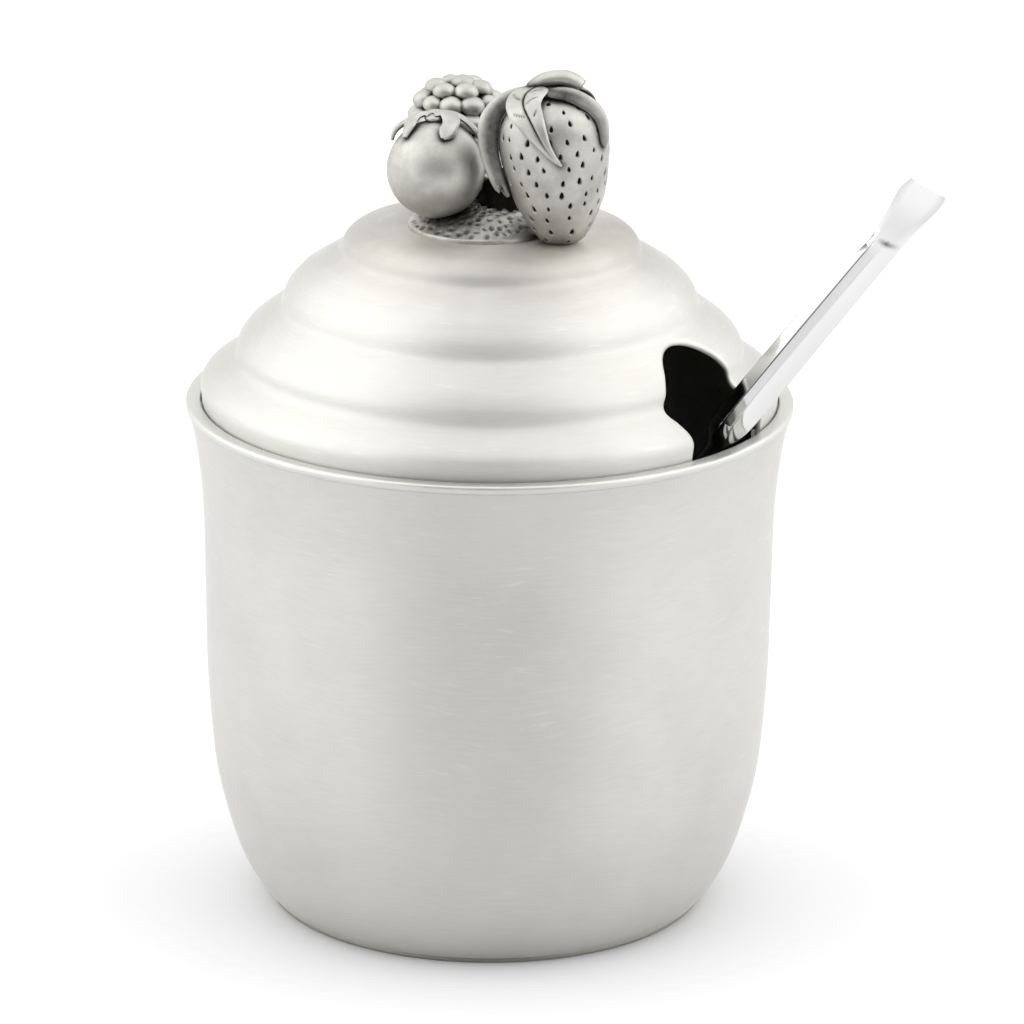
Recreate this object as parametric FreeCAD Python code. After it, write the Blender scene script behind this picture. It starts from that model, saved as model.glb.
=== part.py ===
import FreeCAD, Part
import math
import os

# Covered sugar bowl in satin pewter: a spun bowl on a flat base, a stepped lid with a spoon
# notch and a cast fruit knob, and a polished spoon that leans out through the notch.
# Millimetres. Origin on the table under the middle of the bowl, +Z up, the notch towards +X -Y.

# ---- bowl ----
BOWL_SHEET = 1.2            # spun wall thickness
FLOOR_SHEET = 1.2           # bowl floor thickness
BASE_R = 32.7               # soldered base disc
BASE_T = 0.9
BASE_EDGE = 0.3             # broken lower edge of the base disc
# rounded foot of the wall: radius beyond the base disc, height above the table
FOOT_CURVE = [(1.2, 3.0), (4.5, 7.8), (6.5, 13.7), (7.9, 19.5), (8.8, 27.4), (9.3, 35.2)]
FOOT_STEP = 0.3             # wall beyond the base disc's edge

# ---- rim ring ----
RIM_OUTER_R = 45.0
RIM_TOP_Z = 77.2
RIM_W = 2.2                 # width of the lip
RIM_T = 1.3                 # height of the lip above the wall
RIM_ROUND = 0.45            # height of the lip's straight sides
LEDGE_W = 0.9               # ledge that carries the lid
LEDGE_T = 0.9
LEDGE_KEY = 0.3             # ledge reaching under the lip
WALL_STEP = 0.35            # wall inside the lip's outer edge
# flared top of the wall: radius inside the lip's outer edge, depth below the lip's top
FLARE_CURVE = [(2.8, 32.3), (2.65, 22.5), (2.4, 14.7), (1.8, 8.8), (1.2, 4.9)]
RIM_INNER_R = RIM_OUTER_R - RIM_W
WALL_TOP_Z = RIM_TOP_Z - RIM_T

# ---- lid ----
LID_SHEET = 0.9
LID_SIDE_GAP = 0.3          # lid edge to the rim
LID_SEAT_GAP = 0.05         # lid edge above the ledge
LID_EDGE_R = RIM_INNER_R - LID_SIDE_GAP
LID_EDGE_Z = WALL_TOP_Z + LID_SEAT_GAP
SKIRT_DROP = 0.4            # the skirt is a plain cylinder up to this far below the rim's top
# steps of the lid, from the skirt to the flat crown: distance in from the edge, height above
# the rim's top
LID_STEPS = [(-0.18, 1.2), (-0.25, 2.4), (0.3, 3.5), (1.6, 4.5), (3.0, 5.3), (4.5, 6.0),
             (5.15, 7.0), (5.2, 8.2), (5.7, 9.4), (6.9, 10.9), (8.7, 12.3), (10.3, 13.4),
             (11.6, 14.4), (12.0, 15.6), (12.6, 17.0), (13.6, 18.2), (14.6, 19.2), (16.2, 20.2),
             (17.6, 21.1), (19.3, 22.0), (20.4, 22.9), (20.8, 24.0), (21.7, 25.1), (22.9, 25.8),
             (24.5, 26.12)]
LID_CROWN_IN = 27.0         # flat top for the knob
LID_CROWN_H = 26.2
FLANGE_T = 0.9              # locating band inside the lid
FLANGE_REACH = 3.45         # band below the lid's edge
FLANGE_LAP = 0.75           # band inside the skirt

# ---- spoon notch ----
NOTCH_AZ = -34.0
NOTCH_HALF_W = 9.0
NOTCH_SPRING_H = 4.6        # where its sides turn into the arch, above the rim's top
NOTCH_DEPTH = 22.5          # cut in from the lid's edge
NOTCH_RUN_OUT = 12.0        # punch beyond the lid's edge
FLANGE_NOTCH_EXTRA = 1.0

# ---- fruit knob; heights are above the lid's crown ----
CROWN_Z = RIM_TOP_Z + LID_CROWN_H
GROUND_C = (-1.4, -0.5)
GROUND_R = 10.8
GROUND_EDGE_T = 0.7
GROUND_RISE = [(0.72, 1.5), (0.38, 2.5)]    # share of its radius, rise above its edge
GROUND_MIDDLE_RISE = 2.8
GROUND_PEAK_C = (1.8, 0.6)                # where the three fruits meet
GROUND_PEAK_R = (3.0, 3.0, 8.4)
BERRY_C = (-8.1, -4.0, 9.4)
BERRY_R = 7.15
SEPAL_T = 0.6
SEPAL_HALF_W = 1.8
SEPAL_SHOULDER = 5.6        # above the berry's middle
SEPAL_CROWN_R = 2.6         # where the sepals join
# sepals: azimuth, height of the tip above the berry's middle
SEPALS = [(-150.0, 3.2), (-68.0, 1.8), (-8.0, 2.4), (62.0, 2.6), (134.0, 2.2)]
BRAMBLE_C = (-5.0, 7.4, 11.2)
BRAMBLE_R = (7.3, 6.9, 9.2)
STRAWBERRY_FOOT = (10.6, -8.8)
STRAWBERRY_LEAN = -6.0      # degrees, the top leans towards -X
STRAWBERRY = [(2.7, 0.15), (3.8, 1.2), (5.2, 3.6), (6.45, 6.1), (7.2, 8.9), (7.75, 12.1),
              (8.1, 15.6), (7.8, 17.9), (6.9, 19.8), (5.0, 21.3), (2.5, 22.0)]
STRAWBERRY_H = 22.2
LEAF_T = 0.8
LEAF_SHOULDER = 5.5         # below the fruit's top
# leaves: azimuth, depth of the tip below the fruit's top, half width at the shoulder
LEAVES = [(-170.0, 15.6, 4.2), (-92.0, 11.1, 3.9), (-18.0, 8.6, 4.4), (48.0, 9.1, 3.9),
          (118.0, 10.1, 3.9)]
LEAF_CROWN_R = 4.6          # where the leaves join round the stem
STEM_R = 1.15
# bent stem: offset from the fruit's foot, height above the fruit's top
STEM_PATH = [(-4.9, 0.8, 0.6), (-3.0, 0.7, 1.65), (-0.4, 0.7, 2.15), (2.4, 0.7, 1.4)]

# ---- spoon ----
SPOON_AZ = -33.0            # upright plane the spoon leans in
SPOON_PITCH = 52.45         # slope of the handle above the table
SPOON_ROLL = 55.4           # the spoon lies on its side by this much
HANDLE_RISE = 4.2           # handle's axis above the inner edge of the rim
SPOON_FLOOR_GAP = 0.3
HANDLE_TOP = 49.0
HANDLE_FOOT = -10.0         # lower end of the flat-sided stem
NECK_R = 1.7
NECK_TOP_R = 1.05
NECK_DEPTH = -0.4           # neck's lower end, behind the mouth of the spoon's bowl
NECK_LAP = 3.3              # neck running in to meet the spoon's bowl
SPOON_BOWL_A = 22.0         # half length, half width and depth of the spoon's bowl
SPOON_BOWL_B = 12.0
SPOON_BOWL_C = 6.5
SPOON_SHEET = 1.2
# stem sections: distance along the axis, then six corners (across, front) of the facets
STEM_SECTIONS = [
    (HANDLE_FOOT, [(-0.9, 0.5), (-0.2, -0.6), (0.5, -1.0), (2.3, -0.4), (2.1, 0.8), (-0.4, 1.0)]),
    (HANDLE_FOOT + 3, [(-2.2, 0.6), (-1.4, -0.9), (-0.5, -1.3), (2.7, -0.5), (2.4, 1.0), (-1.8, 1.3)]),
    (2.0, [(-2.9, 0.6), (-1.6, -0.9), (-0.4, -1.3), (2.75, -0.5), (2.4, 1.0), (-2.2, 1.4)]),
    (20.0, [(-2.7, 0.6), (-1.5, -0.9), (-0.2, -1.25), (2.75, -0.5), (2.4, 1.0), (-2.1, 1.3)]),
    (HANDLE_TOP - 12.5, [(-1.5, 0.5), (-1.1, -0.5), (0.2, -1.1), (2.9, -0.4), (2.6, 0.8), (-1.2, 1.0)]),
    (HANDLE_TOP - 6.0, [(-2.3, 0.4), (-1.3, -0.4), (1.4, -0.8), (3.1, -0.3), (2.9, 0.6), (-2.0, 0.7)]),
    (HANDLE_TOP - 1.6, [(-3.1, 0.2), (-1.6, -0.4), (1.9, -0.5), (3.8, -0.3), (3.7, 0.3), (-2.9, 0.5)]),
    (HANDLE_TOP, [(-2.0, 0.2), (-1.2, -0.3), (1.4, -0.35), (3.3, -0.25), (3.2, 0.25), (-1.8, 0.4)]),
]

UP = FreeCAD.Vector(0, 0, 1)


def save(shape, node):
    shape.exportStep("parts/" + node + ".step")


def at_radius(point):
    return FreeCAD.Vector(point[0], 0, point[1])


def spline(points):
    curve = Part.BSplineCurve()
    curve.interpolate([at_radius(p) for p in points])
    return curve.toShape()


def lines(points):
    return [Part.makeLine(at_radius(a), at_radius(b)) for a, b in zip(points, points[1:])]


def revolve(edges):
    face = Part.Face(Part.Wire(edges))
    return face.revolve(FreeCAD.Vector(0, 0, 0), UP, 360)


def inset(points, thickness):
    """Move each profile point towards the inside of a sheet, square to the profile."""
    moved = []
    for i, (r, z) in enumerate(points):
        before = points[max(i - 1, 0)]
        after = points[min(i + 1, len(points) - 1)]
        dr, dz = after[0] - before[0], after[1] - before[1]
        length = math.hypot(dr, dz)
        moved.append((r - thickness * dz / length, z + thickness * dr / length))
    return moved


def azimuth(degrees):
    a = math.radians(degrees)
    return FreeCAD.Vector(math.cos(a), math.sin(a), 0), FreeCAD.Vector(-math.sin(a), math.cos(a), 0)


def base_disc():
    disc = Part.makeCylinder(BASE_R, BASE_T)
    lower = [e for e in disc.Edges if len(e.Vertexes) == 1 and e.CenterOfMass.z < 0.01]
    return disc.makeChamfer(BASE_EDGE, lower)


def wall_profile():
    foot = [(BASE_R + FOOT_STEP, BASE_T)] + [(BASE_R + dr, z) for dr, z in FOOT_CURVE]
    flare = [(RIM_OUTER_R - dr, RIM_TOP_Z - dz) for dr, dz in FLARE_CURVE]
    return foot + flare + [(RIM_OUTER_R - WALL_STEP, WALL_TOP_Z)]


def bowl_wall():
    profile = wall_profile()
    outer = revolve([spline(profile)] + lines(
        [profile[-1], (0, WALL_TOP_Z), (0, BASE_T), profile[0]]))
    floor_z = BASE_T + FLOOR_SHEET
    inner = [p for p in inset(profile, BOWL_SHEET) if p[1] > floor_z + 1.0]
    foot = (inner[0][0] - 2.2, floor_z)
    top = (inner[-1][0], WALL_TOP_Z + 1.0)
    hollow = revolve([spline([foot] + inner)] + lines(
        [inner[-1], top, (0, top[1]), (0, floor_z), foot]))
    return outer.cut(hollow)


def rim_ring():
    shoulder = WALL_TOP_Z + RIM_ROUND
    ledge_r = RIM_INNER_R - LEDGE_W
    key_r = RIM_INNER_R + LEDGE_KEY
    middle = (RIM_OUTER_R + RIM_INNER_R) / 2
    outer_arc = Part.Arc(at_radius((RIM_OUTER_R, shoulder)),
                         at_radius((RIM_OUTER_R - 0.3, RIM_TOP_Z - 0.22)),
                         at_radius((middle, RIM_TOP_Z))).toShape()
    inner_arc = Part.Arc(at_radius((middle, RIM_TOP_Z)),
                         at_radius((RIM_INNER_R + 0.3, RIM_TOP_Z - 0.22)),
                         at_radius((RIM_INNER_R, shoulder))).toShape()
    section = lines([(RIM_INNER_R, shoulder), (RIM_INNER_R, WALL_TOP_Z), (ledge_r, WALL_TOP_Z),
                     (ledge_r, WALL_TOP_Z - LEDGE_T), (key_r, WALL_TOP_Z - LEDGE_T),
                     (key_r, WALL_TOP_Z), (RIM_OUTER_R - WALL_STEP, WALL_TOP_Z),
                     (RIM_OUTER_R, shoulder)])
    return revolve(section + [outer_arc, inner_arc])


def notch_cutter(half_width, low_z):
    """Round-topped punch that runs out through the lid in the spoon's direction."""
    out, side = azimuth(NOTCH_AZ)
    start = out * (LID_EDGE_R - NOTCH_DEPTH)
    spring_line = start + UP * (RIM_TOP_Z + NOTCH_SPRING_H)
    left, right = spring_line - side * half_width, spring_line + side * half_width
    top = spring_line + UP * half_width
    low_left = start - side * half_width + UP * low_z
    low_right = start + side * half_width + UP * low_z
    outline = Part.Wire([Part.makeLine(low_left, left), Part.Arc(left, top, right).toShape(),
                         Part.makeLine(right, low_right), Part.makeLine(low_right, low_left)])
    return Part.Face(outline).extrude(out * (NOTCH_DEPTH + NOTCH_RUN_OUT))


def lid_dome():
    skirt_z = RIM_TOP_Z - SKIRT_DROP
    crown_r = LID_EDGE_R - LID_CROWN_IN
    steps = [(LID_EDGE_R - inwards, RIM_TOP_Z + h) for inwards, h in LID_STEPS]
    curve = [(LID_EDGE_R, skirt_z)] + steps + [(crown_r, CROWN_Z)]
    outer = revolve([spline(curve)] + lines(
        [curve[-1], (0, CROWN_Z), (0, LID_EDGE_Z), (LID_EDGE_R, LID_EDGE_Z), curve[0]]))
    inner = inset(curve, LID_SHEET)
    inner[0] = (LID_EDGE_R - LID_SHEET, skirt_z)
    inner[-1] = (crown_r, CROWN_Z - LID_SHEET)
    low = LID_EDGE_Z - 1.0
    hollow = revolve([spline(inner)] + lines(
        [inner[-1], (0, inner[-1][1]), (0, low), (inner[0][0], low), inner[0]]))
    return outer.cut(hollow).cut(notch_cutter(NOTCH_HALF_W, LID_EDGE_Z - 2.0))


def lid_flange():
    outer_r = LID_EDGE_R - LID_SHEET
    low_z = LID_EDGE_Z - FLANGE_REACH
    height = FLANGE_REACH + FLANGE_LAP
    start = FreeCAD.Vector(0, 0, low_z)
    band = Part.makeCylinder(outer_r, height, start).cut(
        Part.makeCylinder(outer_r - FLANGE_T, height, start))
    return band.cut(notch_cutter(NOTCH_HALF_W + FLANGE_NOTCH_EXTRA, low_z - 2.0))


def on_crown(point):
    return FreeCAD.Vector(point[0], point[1], CROWN_Z + point[2])


def ball(radii, centre):
    scale = FreeCAD.Matrix()
    scale.scale(FreeCAD.Vector(*radii))
    shape = Part.makeSphere(1.0).transformGeometry(scale)
    shape.translate(centre)
    return shape


def round_berry(extra=0.0):
    return Part.makeSphere(BERRY_R + extra, on_crown(BERRY_C))


def strawberry(extra=0.0):
    """Fruit standing on its blunt tip; extra grows it for the leaves that lie on it."""
    tip = STRAWBERRY[0]
    side = [(r + extra, z) for r, z in STRAWBERRY[:-3]]
    cap = [(r + extra * 0.7, z + extra * 0.7) for r, z in STRAWBERRY[-3:-1]]
    crown = [(STRAWBERRY[-1][0], STRAWBERRY[-1][1] + extra), (0, STRAWBERRY_H + extra)]
    fruit = revolve([spline(side + cap + crown)] + lines(
        [(0, STRAWBERRY_H + extra), (0, tip[1]), (tip[0] + extra, tip[1])]))
    fruit.rotate(FreeCAD.Vector(0, 0, 0), FreeCAD.Vector(0, 1, 0), STRAWBERRY_LEAN)
    fruit.translate(FreeCAD.Vector(STRAWBERRY_FOOT[0], STRAWBERRY_FOOT[1], CROWN_Z))
    below = Part.makeBox(40, 40, 10, FreeCAD.Vector(-10, -30, CROWN_Z - 10))
    return fruit.cut(below)


def pointed_wedge(centre, degrees, half_width, shoulder_z, tip_z, top_z, reach):
    """Upright leaf outline, pushed outwards from a fruit's middle in one direction."""
    out, side = azimuth(degrees)
    foot = FreeCAD.Vector(centre[0], centre[1], 0)
    corners = [foot + UP * tip_z, foot + side * half_width + UP * shoulder_z,
               foot + side * half_width * 0.8 + UP * top_z,
               foot - side * half_width * 0.8 + UP * top_z,
               foot - side * half_width + UP * shoulder_z]
    return Part.Face(Part.makePolygon(corners + corners[:1])).extrude(out * reach)


def berry_sepals():
    shell = round_berry(SEPAL_T).cut(round_berry())
    middle = on_crown(BERRY_C)
    top = middle.z + BERRY_R + 2 * SEPAL_T
    keep = Part.makeCylinder(SEPAL_CROWN_R, BERRY_R, middle)
    keep.translate(UP * 2 * SEPAL_T)
    for degrees, tip in SEPALS:
        keep = keep.fuse(pointed_wedge(middle, degrees, SEPAL_HALF_W, middle.z + SEPAL_SHOULDER,
                                       middle.z + tip, top, BERRY_R + 2 * SEPAL_T))
    return shell.common(keep).cut(bramble_body())


def bramble_body():
    return ball(BRAMBLE_R, on_crown(BRAMBLE_C))


def bramble():
    return bramble_body().cut(round_berry())


def finial_ground():
    edge_z = CROWN_Z + GROUND_EDGE_T
    rise = ([(GROUND_R, edge_z)] + [(GROUND_R * share, edge_z + up) for share, up in GROUND_RISE]
            + [(0, edge_z + GROUND_MIDDLE_RISE)])
    plate = revolve([spline(rise)] + lines([rise[-1], (0, CROWN_Z), (GROUND_R, CROWN_Z), rise[0]]))
    plate.translate(FreeCAD.Vector(GROUND_C[0], GROUND_C[1], 0))
    peak = ball(GROUND_PEAK_R, on_crown((GROUND_PEAK_C[0], GROUND_PEAK_C[1], 0)))
    below = Part.makeCylinder(GROUND_R, 2 * GROUND_PEAK_R[2],
                              FreeCAD.Vector(GROUND_PEAK_C[0], GROUND_PEAK_C[1], CROWN_Z - 2 * GROUND_PEAK_R[2]))
    plate = plate.fuse(peak.cut(below))
    return plate.cut(round_berry()).cut(bramble_body()).cut(strawberry())


def strawberry_leaves():
    shell = strawberry(LEAF_T).cut(strawberry())
    lean = math.sin(math.radians(STRAWBERRY_LEAN)) * STRAWBERRY_H
    middle = (STRAWBERRY_FOOT[0] + lean, STRAWBERRY_FOOT[1])
    fruit_top = CROWN_Z + STRAWBERRY_H
    top = fruit_top + 3 * LEAF_T
    reach = max(r for r, z in STRAWBERRY) + 3 * LEAF_T
    foot = FreeCAD.Vector(middle[0], middle[1], fruit_top - LEAF_SHOULDER)
    keep = Part.makeCylinder(LEAF_CROWN_R, top - foot.z, foot)
    for degrees, tip, half_width in LEAVES:
        keep = keep.fuse(pointed_wedge(foot, degrees, half_width, foot.z, fruit_top - tip, top, reach))
    return shell.common(keep)


def strawberry_stem():
    points = [on_crown((STRAWBERRY_FOOT[0] + x, STRAWBERRY_FOOT[1] + y, STRAWBERRY_H + up))
              for x, y, up in STEM_PATH]
    path = Part.BSplineCurve()
    path.interpolate(points)
    wire = Part.Wire(path.toShape())
    ring = Part.Wire(Part.makeCircle(STEM_R, points[0], path.tangent(0)[0]))
    stem = wire.makePipeShell([ring], True, False)
    return stem.cut(strawberry()).cut(strawberry_leaves())


def spoon_placement():
    """Frame of the spoon: X along the handle, Y across it, Z out of its front."""
    out, side = azimuth(SPOON_AZ)
    pitch, roll = math.radians(SPOON_PITCH), math.radians(SPOON_ROLL)
    along = out * math.cos(pitch) + UP * math.sin(pitch)
    under = out * math.sin(pitch) - UP * math.cos(pitch)
    across = under * math.sin(roll) + side * math.cos(roll)
    origin = out * RIM_INNER_R + UP * (RIM_TOP_Z + HANDLE_RISE)
    front = along.cross(across)
    return FreeCAD.Placement(FreeCAD.Matrix(
        along.x, across.x, front.x, origin.x, along.y, across.y, front.y, origin.y,
        along.z, across.z, front.z, origin.z, 0, 0, 0, 1))


def bowl_middle():
    """Where the spoon's bowl lies along the handle, with its lowest edge just off the floor."""
    pitch, roll = math.radians(SPOON_PITCH), math.radians(SPOON_ROLL)
    hang = math.sqrt((SPOON_BOWL_A * math.sin(pitch)) ** 2
                     + (SPOON_BOWL_B * math.cos(pitch) * math.sin(roll)) ** 2
                     + (SPOON_BOWL_C * math.cos(pitch) * math.cos(roll)) ** 2)
    low = BASE_T + FLOOR_SHEET + SPOON_FLOOR_GAP + hang
    return FreeCAD.Vector((low - RIM_TOP_Z - HANDLE_RISE) / math.sin(pitch), 0, 0)


def section_wire(u, corners):
    points = [FreeCAD.Vector(u, across, front) for across, front in corners]
    return Part.makePolygon(points + points[:1])


def spoon_handle():
    stem = Part.makeLoft([section_wire(u, corners) for u, corners in STEM_SECTIONS], True, True)
    foot = STEM_SECTIONS[0][1]
    middle_y = sum(c[0] for c in foot) / len(foot)
    middle_z = sum(c[1] for c in foot) / len(foot)
    neck_end = bowl_middle().x + SPOON_BOWL_A - NECK_LAP
    along = FreeCAD.Vector(1, 0, 0)
    top = Part.makeCircle(NECK_TOP_R, FreeCAD.Vector(HANDLE_FOOT, middle_y, middle_z), along)
    low = Part.makeCircle(NECK_R, FreeCAD.Vector(neck_end, 0, NECK_DEPTH), along)
    neck = Part.makeLoft([Part.Wire(low), Part.Wire(top)], True, True)
    whole_bowl = ball((SPOON_BOWL_A, SPOON_BOWL_B, SPOON_BOWL_C), bowl_middle())
    handle = stem.fuse(neck).cut(whole_bowl)
    handle.Placement = spoon_placement()
    return handle


def spoon_bowl_solid():
    middle = bowl_middle()
    whole = ball((SPOON_BOWL_A, SPOON_BOWL_B, SPOON_BOWL_C), middle)
    corner = middle - FreeCAD.Vector(2 * SPOON_BOWL_A, 2 * SPOON_BOWL_B, 0)
    return whole.cut(Part.makeBox(4 * SPOON_BOWL_A, 4 * SPOON_BOWL_B, 2 * SPOON_BOWL_C, corner))


def spoon_bowl():
    radii = (SPOON_BOWL_A - SPOON_SHEET, SPOON_BOWL_B - SPOON_SHEET, SPOON_BOWL_C - SPOON_SHEET)
    dish = spoon_bowl_solid().cut(ball(radii, bowl_middle()))
    dish.Placement = spoon_placement()
    return dish


def main():
    os.makedirs("parts", exist_ok=True)
    for build in (base_disc, bowl_wall, rim_ring, lid_dome, lid_flange, finial_ground, round_berry,
                  berry_sepals, bramble, strawberry, strawberry_leaves, strawberry_stem,
                  spoon_handle, spoon_bowl):
        save(build(), build.__name__)


main()
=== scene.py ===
"""Looks of a covered sugar bowl: spun satin pewter, a cast fruit knob and a polished spoon.

Sizes inside the classes are millimetres in the row frame: origin on the table under the bowl's
middle, +Z up. Meshes are made in metres.
"""
import logging
import math
from dataclasses import dataclass, field
from enum import Enum
from typing import Callable, Sequence

import bmesh
import bpy
import numpy as np
from mathutils import Matrix, Vector
from mathutils.bvhtree import BVHTree


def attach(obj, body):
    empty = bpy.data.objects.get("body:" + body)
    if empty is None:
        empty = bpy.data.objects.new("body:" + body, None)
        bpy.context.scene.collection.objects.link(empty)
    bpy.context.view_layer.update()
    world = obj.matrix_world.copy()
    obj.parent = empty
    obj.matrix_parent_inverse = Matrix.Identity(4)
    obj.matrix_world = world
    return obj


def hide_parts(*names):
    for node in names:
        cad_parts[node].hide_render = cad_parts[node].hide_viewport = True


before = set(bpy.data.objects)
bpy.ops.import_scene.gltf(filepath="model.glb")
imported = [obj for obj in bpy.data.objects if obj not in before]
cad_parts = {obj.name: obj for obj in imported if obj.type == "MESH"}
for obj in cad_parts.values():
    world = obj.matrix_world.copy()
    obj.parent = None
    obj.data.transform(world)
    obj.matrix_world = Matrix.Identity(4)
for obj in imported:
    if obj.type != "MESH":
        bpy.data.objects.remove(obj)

log = logging.getLogger("sugar_bowl")

MM = 0.001
TAU = 2.0 * math.pi
OXIDE_PAINTED_SHADE_AND_REFLECTION = "oxide_painted_shade_and_reflection"  # per-point darkness, 0 to 1: dark oxide left in the knob's hollows, painted shade on the shaded leaf faces and the ground's peak, and painted reflection along the spoon's handle
SEED = 17

Profile = list[tuple[float, float]]


def linear(hex_colour: str) -> tuple[float, float, float, float]:
    """Turn an sRGB hex value into a linear colour.

    Args:
        hex_colour: six hex digits, such as "C8C5BD".

    Returns:
        Linear red, green, blue and an alpha of one.
    """
    values = [int(hex_colour[i:i + 2], 16) / 255.0 for i in (0, 2, 4)]
    red, green, blue = (v / 12.92 if v <= 0.04045 else ((v + 0.055) / 1.055) ** 2.4 for v in values)
    return red, green, blue, 1.0


def run_along(points: np.ndarray) -> np.ndarray:
    """Distance along a line of points, at each of them."""
    return np.concatenate([[0.0], np.cumsum(np.linalg.norm(np.diff(points, axis=0), axis=1))])


def turns_of(count: int) -> np.ndarray:
    """Angles in radians that share a full turn evenly."""
    return np.linspace(0.0, TAU, count + 1)[:-1]


def smooth(points: Profile, count: int) -> np.ndarray:
    """Run a natural cubic through points, spaced by chord length.

    Args:
        points: pairs, or longer tuples, to pass through.
        count: how many points to return.

    Returns:
        An array of count rows.
    """
    knots = np.array(points, float)
    at = run_along(knots)
    size = len(knots)
    system, right = np.zeros((size, size)), np.zeros_like(knots)
    system[0, 0] = system[-1, -1] = 1.0
    for i in range(1, size - 1):
        before, after = at[i] - at[i - 1], at[i + 1] - at[i]
        system[i, i - 1:i + 2] = before, 2.0 * (before + after), after
        right[i] = 6.0 * ((knots[i + 1] - knots[i]) / after - (knots[i] - knots[i - 1]) / before)
    bend = np.linalg.solve(system, right)
    where = np.linspace(0.0, at[-1], count)
    span = np.clip(np.searchsorted(at, where) - 1, 0, size - 2)
    width = (at[span + 1] - at[span])[:, None]
    a = ((at[span + 1] - where)[:, None]) / width
    b = 1.0 - a
    return (a * knots[span] + b * knots[span + 1]
            + ((a ** 3 - a) * bend[span] + (b ** 3 - b) * bend[span + 1]) * width ** 2 / 6.0)


def inward(profile: np.ndarray) -> np.ndarray:
    """Unit normals of a profile that runs upwards on the outside, pointing into the sheet."""
    slope = np.gradient(profile, axis=0)
    slope /= np.linalg.norm(slope, axis=1)[:, None]
    return np.stack([-slope[:, 1], slope[:, 0]], axis=1)


def ease(value: np.ndarray | float, low: float, high: float) -> np.ndarray | float:
    """Smooth step from 0 at low to 1 at high."""
    t = np.clip((value - low) / (high - low), 0.0, 1.0)
    return t * t * (3.0 - 2.0 * t)


def link(name: str, data: bpy.types.ID) -> bpy.types.Object:
    """Make an object of this data and link it to the scene."""
    made = bpy.data.objects.new(name, data)
    bpy.context.scene.collection.objects.link(made)
    return made


class MeshDraft:
    """Points and faces in millimetres, gathered before they become one mesh."""

    def __init__(self) -> None:
        """Start empty."""
        self.points: list[Sequence[float]] = []
        self.faces: list[tuple[int, ...]] = []
        self.oxide_painted_shade_and_reflection: list[float] = []

    def point(self, place: Sequence[float], oxide_painted_shade_and_reflection: float = 0.0) -> int:
        """Add a point and return its number."""
        self.points.append((float(place[0]), float(place[1]), float(place[2])))
        self.oxide_painted_shade_and_reflection.append(float(oxide_painted_shade_and_reflection))
        return len(self.points) - 1

    def row(self, places: Sequence[Sequence[float]], oxide_painted_shade_and_reflection: Sequence[float] | None = None) -> list[int]:
        """Add a row of points and return their numbers."""
        dark = oxide_painted_shade_and_reflection if oxide_painted_shade_and_reflection is not None else [0.0] * len(places)
        return [self.point(p, d) for p, d in zip(places, dark)]

    def strip(self, low: Sequence[int], high: Sequence[int], closed: bool) -> None:
        """Join two rows with quads, or with a fan where one row is a single point.

        Args:
            low: the first row.
            high: the second row, as long as the first, or one point.
            closed: whether the last column joins the first.
        """
        size = max(len(low), len(high))
        for i in range(size if closed else size - 1):
            j = (i + 1) % size
            corners = [low[i % len(low)], low[j % len(low)], high[j % len(high)], high[i % len(high)]]
            unique = tuple(dict.fromkeys(corners))
            if len(unique) > 2:
                self.faces.append(unique)

    def skin(self, rows: Sequence[Sequence[int]], closed: bool) -> None:
        """Join each row to the next."""
        for low, high in zip(rows, rows[1:]):
            self.strip(low, high, closed)

    def build(self, name: str, crease: float = 45.0) -> bpy.types.Object:
        """Make the object, with outward faces, smooth shading and its darkness attribute of oxide, painted
        shade and painted reflection.

        Args:
            name: the piece's name.
            crease: edges sharper than this, in degrees, stay sharp.

        Returns:
            The new object, linked to the scene.
        """
        mesh = bpy.data.meshes.new(name)
        mesh.from_pydata([(x * MM, y * MM, z * MM) for x, y, z in self.points], [], self.faces)
        mesh.validate()
        piece = link(name, mesh)
        face_outwards(mesh)
        shade(mesh, crease)
        mesh.attributes.new(OXIDE_PAINTED_SHADE_AND_REFLECTION, "FLOAT", "POINT")
        mesh.attributes[OXIDE_PAINTED_SHADE_AND_REFLECTION].data.foreach_set("value", np.array(self.oxide_painted_shade_and_reflection, np.float32))
        return piece


def face_outwards(mesh: bpy.types.Mesh) -> None:
    """Turn every face of a closed mesh outwards, going by its enclosed volume."""
    work = bmesh.new()
    work.from_mesh(mesh)
    bmesh.ops.recalc_face_normals(work, faces=work.faces)
    if work.calc_volume(signed=True) < 0.0:
        bmesh.ops.reverse_faces(work, faces=work.faces)
    work.to_mesh(mesh)
    work.free()


def shade(mesh: bpy.types.Mesh, crease: float) -> None:
    """Shade smooth, with edges sharper than crease degrees left sharp."""
    mesh.polygons.foreach_set("use_smooth", np.ones(len(mesh.polygons), bool))
    mesh.set_sharp_from_angle(angle=math.radians(crease))
    mesh.update()


def places(mesh: bpy.types.Mesh) -> np.ndarray:
    """Points of a mesh in millimetres."""
    flat = np.zeros(len(mesh.vertices) * 3, np.float32)
    mesh.vertices.foreach_get("co", flat)
    return flat.reshape(-1, 3).astype(float) / MM


def darken(mesh: bpy.types.Mesh, amount: np.ndarray) -> None:
    """Raise the darkness attribute, oxide, painted shade and painted reflection, to amount where that is
    darker.
    """
    if OXIDE_PAINTED_SHADE_AND_REFLECTION not in mesh.attributes:
        mesh.attributes.new(OXIDE_PAINTED_SHADE_AND_REFLECTION, "FLOAT", "POINT")
    layer = mesh.attributes[OXIDE_PAINTED_SHADE_AND_REFLECTION].data
    now = np.zeros(len(mesh.vertices), np.float32)
    layer.foreach_get("value", now)
    layer.foreach_set("value", np.maximum(now, amount).astype(np.float32))


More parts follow.
